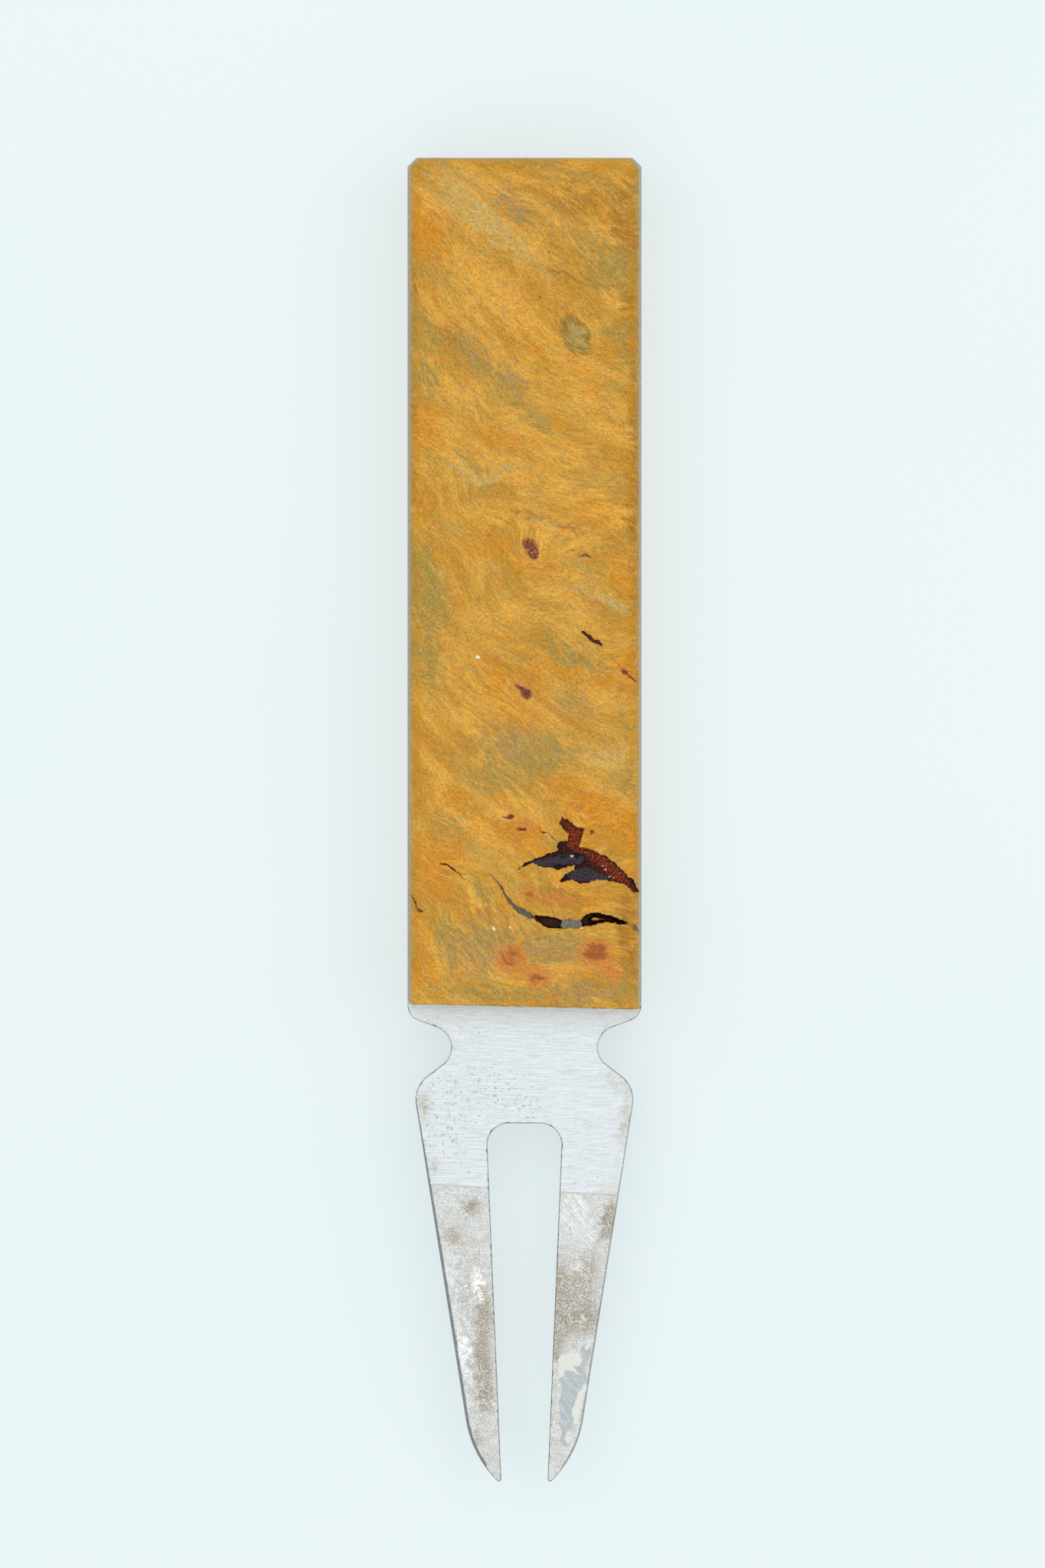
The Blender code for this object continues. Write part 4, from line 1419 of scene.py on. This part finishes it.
@dataclass
class BurlScale:
    """One burl scale: a slab with a rounded outer face and two cut butt corners."""

    name: str
    node: str
    figure: BurlFigure
    facing: Facing
    flaws: tuple[Flaw, ...] = ()
    ease: float = 1.0
    rim: float = 1.15
    side_gap: float = 0.07
    butt_chamfer: float = 0.75
    end_skew: float = math.tan(math.radians(-1.3))
    end_break: float = 0.10
    rim_steps: tuple[float, ...] = (0.0, 0.03, 0.09, 0.18, 0.3, 0.44, 0.6, 0.8)
    rim_run: float = 0.2
    rim_gap: float = 0.25
    ripple: float = 0.03
    ripple_scale: float = 0.11
    ripple_fade: float = 1.4
    full_dark_depth: float = 0.25
    least_wood: float = 0.4
    coarse: float = 0.5
    fine: float = 0.085
    fine_x: tuple[float, float] = (-1.2, 9.5)
    fine_y: tuple[float, float] = (5.4, 16.0)
    side: float = field(init=False)
    low_z: float = field(init=False)
    high_z: float = field(init=False)
    end_y: float = field(init=False)
    butt_y: float = field(init=False)

    def __post_init__(self) -> None:
        """Take the scale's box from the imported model."""
        low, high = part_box(self.node)
        self.side = high.x / MM - self.side_gap
        self.low_z, self.high_z = low.z / MM, high.z / MM
        self.butt_y = high.y / MM - self.side_gap / 2
        self.end_y = low.y / MM - self.side * self.end_skew

    def steps(self, start: float, end: float, fine: tuple[float, float]) -> np.ndarray:
        """Space out grid lines, close together at both ends and about the flaws.

        Args:
            start: First line.
            end: Last line.
            fine: Range in which they lie close together.

        Returns:
            The lines' places.
        """
        rim = [*self.rim_steps, self.ease, self.ease + self.rim_run]
        places = [start + step for step in rim]
        while places[-1] < end - self.ease - self.rim_run:
            close = bool(self.flaws) and fine[0] - 0.1 < places[-1] < fine[1]
            places.append(places[-1] + (self.fine if close else self.coarse))
        while places[-1] > end - self.ease - self.rim_gap:
            places.pop()
        return np.array(places + [end - step for step in reversed(rim)])

    def surface(self, x: np.ndarray, y: np.ndarray) -> tuple[np.ndarray, np.ndarray]:
        """Shape the outer face.

        Args:
            x: Places across the scale.
            y: Places along the scale.

        Returns:
            How far the face lies below the scale's highest level, and how near it is to the rim.
        """
        across = self.side - np.abs(x)
        butt = self.butt_y - y
        corner = (across + butt - self.butt_chamfer) / math.sqrt(2)
        distance = np.clip(np.minimum(np.minimum(across, butt), corner), 0, None)
        inner = np.clip(self.ease - distance, 0, self.ease)
        drop = self.ease - np.sqrt(self.ease**2 - inner**2)
        from_end = y - self.end_y - x * self.end_skew
        drop = drop + np.clip(self.end_break - from_end, 0, None)
        return drop, np.clip(self.rim - distance, 0, self.rim) / self.rim

    def sunk(self, flat: np.ndarray) -> np.ndarray:
        """Return how deep each flaw cuts into the face at points, a row for each flaw."""
        local = flat - np.array([0.0, self.end_y])
        x, y = local.T
        near = (x > self.fine_x[0]) & (y > self.fine_y[0]) & (y < self.fine_y[1])
        depths = np.zeros((len(self.flaws) + 1, len(flat)))
        for row, flaw in enumerate(self.flaws):
            depths[row, near] = flaw.drop(local[near])
        return depths

    def build(self, material: bpy.types.Material) -> bpy.types.Object:
        """Build the scale.

        Args:
            material: Its material.

        Returns:
            The scale.
        """
        length = self.butt_y - self.end_y
        share, run = np.meshgrid(
            self.steps(-self.side, self.side, self.fine_x) / self.side,
            self.steps(0.0, length, self.fine_y),
        )
        chamfer = np.clip(self.end_y + run - (self.butt_y - self.butt_chamfer), 0, None)
        x = share * (self.side - chamfer)
        y = self.end_y + run + x * self.end_skew * (1 - run / length)
        drop, rim = self.surface(x, y)
        flat = in_rows(x, y)
        upward = self.facing is Facing.UP
        wave = wobble(flat, self.ripple_scale, 2.0 if upward else 9.0, 2).reshape(x.shape)
        inland = np.clip(self.ripple_fade - rim * self.ripple_fade, 0, 1)
        drop = drop + self.ripple * (wave + 1) * inland
        depths = self.sunk(flat)
        drop = drop + depths.sum(axis=0).reshape(x.shape)
        hollow = np.clip(depths.max(axis=0) / self.full_dark_depth, 0, 1)
        outer, inner = (self.high_z, self.low_z) if upward else (self.low_z, self.high_z)
        thickest = self.high_z - self.low_z - self.least_wood
        z = outer - self.facing.value * np.minimum(drop, thickest)
        draft = MeshDraft()
        points = in_rows(x, y, z)
        top = draft.add_points(points, edge=rim.ravel(), hollow=hollow).reshape(x.shape)
        draft.add_grid(top, flip=not upward)
        self.close(draft, top, points, inner)
        return settle(draft.make(self.name, material, sharp=50.0), "burl_wood", self.node)

    @staticmethod
    def close(draft: MeshDraft, top: np.ndarray, points: np.ndarray, inner: float) -> None:
        """Add the sides and the flat inner face.

        Args:
            draft: The mesh in the making.
            top: Numbers of the outer face's grid.
            points: The outer face's points.
            inner: Level of the inner face.
        """
        loop = np.concatenate([top[0, :-1], top[:-1, -1], top[-1, :0:-1], top[:0:-1, 0]])
        below = points[loop]
        below[:, 2] = inner
        base = draft.add_points(below, edge=0.5)
        draft.add_band(base, loop)
        tall, wide = top.shape[0] - 1, top.shape[1] - 1
        right = base[wide:wide + tall + 1]
        left = np.concatenate([base[:1], base[:-tall - 1:-1]])
        draft.add_face(left[1], *base[:wide + 1], right[1])
        for index in range(1, tall - 1):
            draft.add_face(left[index], right[index], right[index + 1], left[index + 1])
        draft.add_face(left[tall - 1], right[tall - 1], *base[wide + tall:2 * wide + tall + 1])


@dataclass
class FlawFill:
    """Bark or resin that fills a hollow of the front scale almost to its face."""

    name: str
    node: str
    slot: str
    flaw: Flaw
    scale: BurlScale
    relief: float
    step: float = 0.07
    margin: float = 0.3
    thickness: float = 0.9
    tuck: float = 0.14
    clearance: float = 0.02
    end_fray: float = 0.32
    core_reach: float = 0.35

    def build(self, material: bpy.types.Material) -> bpy.types.Object:
        """Build the fill.

        Args:
            material: Its material.

        Returns:
            The fill.
        """
        outline = np.array(self.flaw.outline)
        low, high = outline.min(axis=0) - self.margin, outline.max(axis=0) + self.margin
        high[0] = min(high[0], self.scale.side - self.clearance)
        xs = np.arange(low[0], high[0] + self.step / 2, self.step)
        x, y = np.meshgrid(xs, np.arange(low[1], high[1], self.step))
        flat = in_rows(x, y)
        reach = self.flaw.reach(flat).reshape(x.shape)
        ends = np.minimum(flat[:, 0] - self.flaw.fill_from, self.flaw.fill_to - flat[:, 0])
        ends = (ends + self.end_fray * wobble(flat, 1.7, 14.0, 3)).reshape(x.shape)
        kept = (reach > -self.tuck) & (ends > 0)
        cell = self.largest(kept[:-1, :-1] & kept[:-1, 1:] & kept[1:, 1:] & kept[1:, :-1])
        used = np.zeros(x.shape, dtype=bool)
        for rows in (slice(0, -1), slice(1, None)):
            for columns in (slice(0, -1), slice(1, None)):
                used[rows, columns] |= cell

        y_tool = y + self.scale.end_y
        level = self.scale.high_z - self.scale.surface(x, y_tool)[0]
        grain = wobble(flat, 3.0, 1.7, 3).reshape(x.shape)
        top_z = level - self.flaw.fill_depth - self.relief * (grain + 1)
        top = in_rows(x[used], y_tool[used], top_z[used])
        draft = MeshDraft()
        draft.add_points(top, core=np.clip(reach[used] / self.core_reach, 0, 1))
        draft.add_points(in_rows(x[used], y_tool[used], level[used] - self.thickness))
        places = np.full(x.shape, -1)
        places[used] = np.arange(used.sum())
        self.join(draft, cell, places, len(top))
        return settle(draft.make(self.name, material, sharp=60.0), self.slot, self.node)

    @staticmethod
    def join(draft: MeshDraft, cell: np.ndarray, places: np.ndarray, count: int) -> None:
        """Join the fill's points: its face, its underside and the walls between them.

        Args:
            draft: The mesh in the making.
            cell: Which cells of the grid are filled.
            places: The grid points' numbers on the face.
            count: How much higher the number of the point below each one is.
        """
        borders: dict[tuple[int, int], bool] = {}
        for row, column in zip(*np.nonzero(cell)):
            corners = ((row, column), (row, column + 1), (row + 1, column + 1), (row + 1, column))
            ring = [int(places[corner]) for corner in corners]
            draft.add_face(*ring)
            draft.add_face(*(number + count for number in reversed(ring)))
            for start, end in zip(ring, ring[1:] + ring[:1]):
                if not borders.pop((end, start), False):
                    borders[(start, end)] = True
        for start, end in borders:
            draft.add_face(end, start, start + count, end + count)

    @staticmethod
    def largest(cell: np.ndarray) -> np.ndarray:
        """Keep the largest patch of cells that share edges.

        Args:
            cell: Which cells are filled.

        Returns:
            Which cells belong to the largest patch.
        """
        left = set(zip(*np.nonzero(cell)))
        best: set[tuple[int, int]] = set()
        while left:
            start = min(left)
            left.discard(start)
            patch, queue = {start}, [start]
            while queue:
                row, column = queue.pop()
                around = {(row + 1, column), (row - 1, column), (row, column + 1), (row, column - 1)}
                found = around & left
                left -= found
                patch |= found
                queue.extend(found)
            best = max(best, patch, key=len)
        kept = np.zeros(cell.shape, dtype=bool)
        kept[tuple(np.array(sorted(best)).T)] = True
        return kept


@dataclass
class GlueLine:
    """Cured epoxy that fills the gap between a scale and the tang."""

    name: str
    node: str
    scale: BurlScale
    low_z: float
    high_z: float
    inset: float = 0.05
    squeeze: float = 0.10
    squeezed_from: float = 0.3
    corner_gap: float = 0.1
    waviness: float = 0.03
    step: float = 0.25

    def build(self, material: bpy.types.Material) -> bpy.types.Object:
        """Build the glue line, squeezed out a little at the scale's end.

        Args:
            material: Its material.

        Returns:
            The glue line.
        """
        scale = self.scale
        side, chamfer = scale.side, scale.butt_chamfer
        slant = side * scale.end_skew
        corners = [
            (-side, scale.end_y - slant), (side, scale.end_y + slant),
            (side, scale.butt_y - chamfer), (side - chamfer, scale.butt_y),
            (-side + chamfer, scale.butt_y), (-side, scale.butt_y - chamfer),
        ]
        points = divided(corners, lambda _: self.step)
        ragged = wobble(points, 1.6, 4.0, 3)
        between = np.abs(points[:, 0]) < side - self.corner_gap
        at_end = (points[:, 1] < scale.end_y + self.squeezed_from) & between
        squeezed = self.squeeze * np.clip(0.75 + 0.5 * ragged, 0.1, 2)
        grow = np.where(at_end, squeezed, self.waviness * np.minimum(ragged, 0) - self.inset)
        points = points + outward(points) * grow[:, None]
        draft = MeshDraft()
        low, high = (
            draft.add_points(np.column_stack([points, np.full(len(points), z)]))
            for z in (self.low_z, self.high_z)
        )
        draft.add_band(low, high)
        draft.add_face(*high)
        draft.add_face(*reversed(low))
        return settle(draft.make(self.name, material, sharp=30.0), "epoxy", self.node)


@dataclass
class Handle:
    """Both scales, their fills, the glue lines and the hidden pins."""

    groups: SharedGroups
    nodes: dict[str, bpy.types.Object]

    def build(self) -> None:
        """Build and dress every piece of the handle."""
        plate_low, plate_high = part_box("fork_plate")
        front = BurlScale(
            "burl_front_scale", "front_scale", FRONT_FIGURE, Facing.UP, (BARK_VOID, LONG_CRACK)
        )
        rear = BurlScale("burl_rear_scale", "rear_scale", REAR_FIGURE, Facing.DOWN)
        for scale in (front, rear):
            scale.build(BurlFinish(scale.figure).material(scale.name, self.groups))
        bark = FlawFill("bark_inclusion", "bark_void_fill", "bark_and_resin", BARK_VOID, front, 0.035)
        bark.build(BarkFinish().material("bark_in_resin", self.groups))
        resin = FlawFill("crack_resin", "crack_fill", "grey_resin", LONG_CRACK, front, 0.02)
        resin.build(CastResinFinish().material("grey_cast_resin", self.groups))
        epoxy = EpoxyFinish().material("epoxy_line", self.groups)
        for line in (
            GlueLine("front_glue_line", "front_epoxy_film", front, plate_high.z / MM, front.low_z),
            GlueLine("rear_glue_line", "rear_epoxy_film", rear, rear.high_z, plate_low.z / MM),
        ):
            line.build(epoxy)
        brass = BrassFinish().material("brass_pin", self.groups)
        for name in ("butt_pin", "neck_pin"):
            slots = self.nodes[name].data.materials
            slots.clear()
            slots.append(brass)
            LOG.info("%s keeps its CAD shape", name)


# ---------------------------------------------------------------------------
# The fork
# ---------------------------------------------------------------------------


@dataclass
class ForkPlate:
    """The flat steel fork: tang, neck, shoulders and two thinned tines."""

    finish: SteelFinish
    butt_chamfer: float = 0.7
    corner_radius: float = 1.3
    notch_radius: float = 1.75
    notch_land: float = 1.64
    notch_top_angle: float = math.radians(70)
    flank_angle: float = math.radians(53)
    shoulder_inset: float = 0.45
    shoulder_radius: float = 2.4
    tine_angle: float = math.radians(9)
    sweep_angle: float = math.radians(45)
    sweep_radius: float = 9.0
    tip_radius: float = 0.2
    tip_gap: float = 3.74
    slot_depth: float = 29.21
    slot_width: float = 6.2
    slot_radius: float = 1.74
    fork_length: float = 35.4
    notch_reach: float = 4.2
    ramp_length: float = 23.8
    ramp_depth: float = 0.35
    arc_step: float = 0.14
    step: float = 0.16
    hidden_step: float = 1.5
    grid: float = 0.5
    hidden_from: float = -14.6
    cap_margin: float = 0.3
    bevel: float = 0.10
    bevel_fall: float = 0.85
    most_fall: float = 0.35
    worn_from: float = -24.0
    worn_run: float = 24.0
    burred_tip: float = 0.3
    burr_bite: float = 0.035
    lip: float = 0.04
    ripple: float = 0.012
    half: float = field(init=False)
    butt_y: float = field(init=False)
    tip_y: float = field(init=False)
    low_z: float = field(init=False)
    high_z: float = field(init=False)

    def __post_init__(self) -> None:
        """Take the plate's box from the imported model."""
        low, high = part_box("fork_plate")
        self.half, self.butt_y, self.tip_y = high.x / MM, high.y / MM, low.y / MM
        self.low_z, self.high_z = low.z / MM, high.z / MM

    @staticmethod
    def crossing(a: Point, angle_a: float, b: Point, angle_b: float) -> Point:
        """Cross two lines, each given by a point and its angle from +Y towards +X.

        Args:
            a: Point of the first line.
            angle_a: Angle of the first line.
            b: Point of the second line.
            angle_b: Angle of the second line.

        Returns:
            Where they cross.
        """
        way_a = Vector((math.sin(angle_a), math.cos(angle_a)))
        way_b = Vector((math.sin(angle_b), math.cos(angle_b)))
        along = (Vector(b) - Vector(a)).cross(way_b) / way_a.cross(way_b)
        found = Vector(a) + way_a * along
        return (found.x, found.y)

    def corners(self) -> list[Corner]:
        """Lay out the whole outline.

        Returns:
            Its corners, clockwise from the butt.
        """
        land = (self.corner_radius + self.notch_radius) * math.tan(self.notch_top_angle / 2)
        land += self.notch_land
        neck_y = self.tip_y + self.fork_length
        neck = self.half - land * math.sin(self.notch_top_angle)
        notch_y = neck_y + self.notch_radius * math.tan(self.notch_top_angle / 2)
        tang_y = notch_y + land * math.cos(self.notch_top_angle)
        foot_y = neck_y - self.notch_radius * math.tan(self.flank_angle / 2)
        shoulder = self.half - self.shoulder_inset
        shoulder_y = foot_y - (shoulder - neck) / math.tan(self.flank_angle)
        wall = math.atan2((self.slot_width - self.tip_gap) / 2, self.slot_depth)
        tip_half = (self.sweep_angle - wall) / 2
        rise = math.cos(wall + tip_half) / math.sin(tip_half) - 1
        tip = (self.tip_gap / 2, self.tip_y - self.tip_radius * rise)
        sweep = self.crossing((shoulder, shoulder_y), self.tine_angle, tip, self.sweep_angle)
        right = [
            Corner(self.half - self.butt_chamfer, self.butt_y),
            Corner(self.half, self.butt_y - self.butt_chamfer),
            Corner(self.half, tang_y, self.corner_radius),
            Corner(neck, notch_y, self.notch_radius),
            Corner(neck, foot_y, self.notch_radius),
            Corner(shoulder, shoulder_y, self.shoulder_radius),
            Corner(*sweep, self.sweep_radius),
            Corner(*tip, self.tip_radius),
            Corner(self.slot_width / 2, self.tip_y + self.slot_depth, self.slot_radius),
        ]
        return right + [Corner(-corner.x, corner.y, corner.radius) for corner in reversed(right)]

    def outline(self) -> np.ndarray:
        """Return the outline's points, anticlockwise and close together below the handle."""
        points = rounded_outline(self.corners(), self.arc_step)[::-1]
        return divided(points, lambda point: self.step if point[1] < self.hidden_from else self.hidden_step)

    def taper(self, points: np.ndarray) -> np.ndarray:
        """Return how much each face is ground away at points."""
        start = self.tip_y + self.ramp_length + points[:, 0] * self.finish.grind_slope
        return np.clip(start - points[:, 1], 0, None) * self.ramp_depth / self.ramp_length

    def edges(self, points: np.ndarray) -> tuple[np.ndarray, np.ndarray, np.ndarray]:
        """Choose the edges' bevels.

        Args:
            points: The outline.

        Returns:
            Each bevel's width, its shade and how burred it is.
        """
        x, y = points.T
        to_tip = np.hypot(np.abs(x) - self.tip_gap / 2, y - self.tip_y)
        fork = y < self.hidden_from
        slot = (np.abs(x) < self.slot_width / 2 + 0.05) & (y < self.tip_y + self.slot_depth + 0.1)
        notch = fork & ~slot & (y > self.tip_y + self.fork_length - self.notch_reach)
        left, right = (fork & ~slot & ~notch & side for side in (x < 0, x > 0))
        ragged = wobble(points, 2.5, 6.0, 3)
        grow = np.clip((self.worn_from - y) / self.worn_run, 0, 1)
        width = np.select(
            [slot | notch, left, right],
            [
                0.05 + 0.05 * np.abs(ragged),
                0.10 + 0.27 * grow * (1.5 - grow) + 0.04 * ragged,
                0.08 + 0.08 * grow + 0.02 * ragged,
            ],
            self.bevel,
        )
        width = np.minimum(width, 0.02 + 0.2 * to_tip)
        # painted shade: the fork's left edges, turned away from the light, and the tang's edges, shaded under
        # the scales
        shade = np.select([left, ~fork], [0.62, 0.35], 0.0)
        torn = np.clip(0.3 + 1.1 * ragged, 0, 1)
        burr = np.select([to_tip < self.burred_tip, slot | notch], [0.9, torn], 0.0)
        return width, shade, burr

    def cap(self, draft: MeshDraft, ring: np.ndarray, outline: np.ndarray, facing: Facing) -> None:
        """Close one face of the plate.

        Args:
            draft: The mesh in the making.
            ring: Numbers of the face's rim.
            outline: Places of the rim.
            facing: Which of the two faces to close.
        """
        low, high = outline.min(axis=0) + self.cap_margin, outline.max(axis=0)
        x, y = np.meshgrid(
            np.arange(low[0], high[0], self.grid), np.arange(low[1], self.hidden_from, self.grid)
        )
        inner = in_rows(x, y)
        inner = inner[inside_distance(inner, outline) > self.grid / 2]
        flat = [Vector(point) for point in np.concatenate([outline, inner])]
        face = list(range(len(outline)))
        _, _, faces, sources, _, _ = delaunay_2d_cdt(flat, [], [face], 1, MERGE)
        upward = facing is Facing.UP
        sunk = self.taper(inner) + self.ripple * (wobble(inner, 0.35, 3.0, 2) + 1)
        z = (self.high_z if upward else self.low_z) - facing.value * sunk
        known = np.concatenate([ring, draft.add_points(np.column_stack([inner, z]))])
        for triangle in faces:
            mapped = [known[sources[corner][0]] for corner in triangle]
            draft.add_face(*(mapped if upward else reversed(mapped)))

    def build(self, material: bpy.types.Material) -> bpy.types.Object:
        """Build the plate.

        Args:
            material: Its material.

        Returns:
            The plate.
        """
        points = self.outline()
        normals = outward(points)
        width, shade, burr = self.edges(points)
        ragged = np.abs(wobble(points, 4.0, 12.0, 3))
        points = points - normals * (burr * self.burr_bite * ragged)[:, None]
        depth = self.taper(points)
        top, bottom = self.high_z - depth, self.low_z + depth
        fall = np.minimum(width * self.bevel_fall, self.most_fall)
        rim = points - normals * (width + self.lip)[:, None]
        draft = MeshDraft()
        rings = []
        # the third value is each ring's share of the bevels' painted shade
        for inset, z, painted_shade_share, burred in (
            (width + self.lip, bottom, 0.0, 0.0),
            (width, bottom, 0.6, 1.0),
            (0 * width, bottom + fall, 0.5, 0.1),
            (0 * width, top - fall, 1.0, 0.3),
            (width, top, 0.6, 1.0),
            (width + self.lip, top, 0.0, 0.0),
        ):
            placed = points - normals * inset[:, None]
            ring = np.column_stack([placed, z])
            rings.append(draft.add_points(ring, rim=shade * painted_shade_share, burr=burr * burred))
        for low, high in zip(rings, rings[1:]):
            draft.add_band(low, high)
        self.cap(draft, rings[-1], rim, Facing.UP)
        self.cap(draft, rings[0], rim, Facing.DOWN)
        return settle(draft.make("steel_fork", material, sharp=28.0), "fork_steel", "fork_plate")


# ---------------------------------------------------------------------------
# The studio
# ---------------------------------------------------------------------------


@dataclass(frozen=True)
class Softbox:
    """A soft square light that hangs over the table and points at the tool."""

    name: str
    place: tuple[float, float, float]
    size: float
    watts: float
    colour: Colour

    def build(self) -> None:
        """Hang the light."""
        lamp = bpy.data.lights.new(self.name, "AREA")
        lamp.shape = "SQUARE"
        lamp.size = self.size * MM
        lamp.energy = self.watts
        lamp.color = self.colour[:3]
        held = in_scene(self.name, lamp)
        held.location = Vector(self.place) * MM
        held.rotation_euler = (-Vector(self.place)).to_track_quat("-Z", "Y").to_euler()


@dataclass
class Studio:
    """A pale table, soft lights and a camera straight above."""

    groups: SharedGroups
    softboxes: tuple[Softbox, ...] = (
        Softbox("overhead_softbox", (-20, 60, 1000), 1500, 7.8, srgb(252, 254, 255)),
        Softbox("right_softbox", (800, 100, 620), 600, 0.6, srgb(252, 253, 255)),
    )
    air: Colour = srgb(236, 245, 250)
    air_strength: float = 0.52
    lens: float = 300.0
    frame_height: float = 127.6
    aim: tuple[float, float, float] = (-0.16, 2.93, 8.5)
    sensor: float = 36.0
    nearest: float = 10.0
    floor_half: float = 900.0
    floor_lines: int = 9

    def floor(self) -> None:
        """Lay the table that the tool lies on."""
        draft = MeshDraft()
        edge = np.linspace(-self.floor_half, self.floor_half, self.floor_lines)
        x, y = np.meshgrid(edge, edge)
        places = in_rows(x, y, np.zeros(x.shape))
        draft.add_grid(draft.add_points(places).reshape(x.shape))
        piece = draft.make("floor", FloorFinish().material("pale_table", self.groups))

    def world(self) -> None:
        """Fill the room with soft light."""
        world = bpy.data.worlds.new("studio_air")
        world.use_nodes = True
        background = world.node_tree.nodes["Background"]
        background.inputs["Color"].default_value = self.air
        background.inputs["Strength"].default_value = self.air_strength
        bpy.context.scene.world = world
        bpy.context.scene.view_settings.view_transform = "Standard"

    def camera(self) -> None:
        """Hang the camera straight above the tool."""
        lens = bpy.data.cameras.new("overhead_camera")
        lens.lens = self.lens
        lens.sensor_width = self.sensor
        lens.clip_start = self.nearest * MM
        height = self.frame_height * self.lens / self.sensor
        held = in_scene("overhead_camera", lens)
        held.location = (Vector(self.aim) + Vector((0, 0, height))) * MM
        bpy.context.scene.camera = held

    def build(self) -> None:
        """Set up the table, the lights and the camera."""
        self.floor()
        for softbox in self.softboxes:
            softbox.build()
        self.world()
        self.camera()
        LOG.info("studio is set")


def main() -> None:
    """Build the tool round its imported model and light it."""
    logging.basicConfig(level=logging.INFO, format="%(message)s")
    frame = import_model()
    groups = SharedGroups()
    steel = SteelFinish()
    ForkPlate(steel).build(steel.material("ground_steel", groups))
    Handle(groups, frame["nodes"]).build()
    Studio(groups).build()


if __name__ == "__main__":
    main()
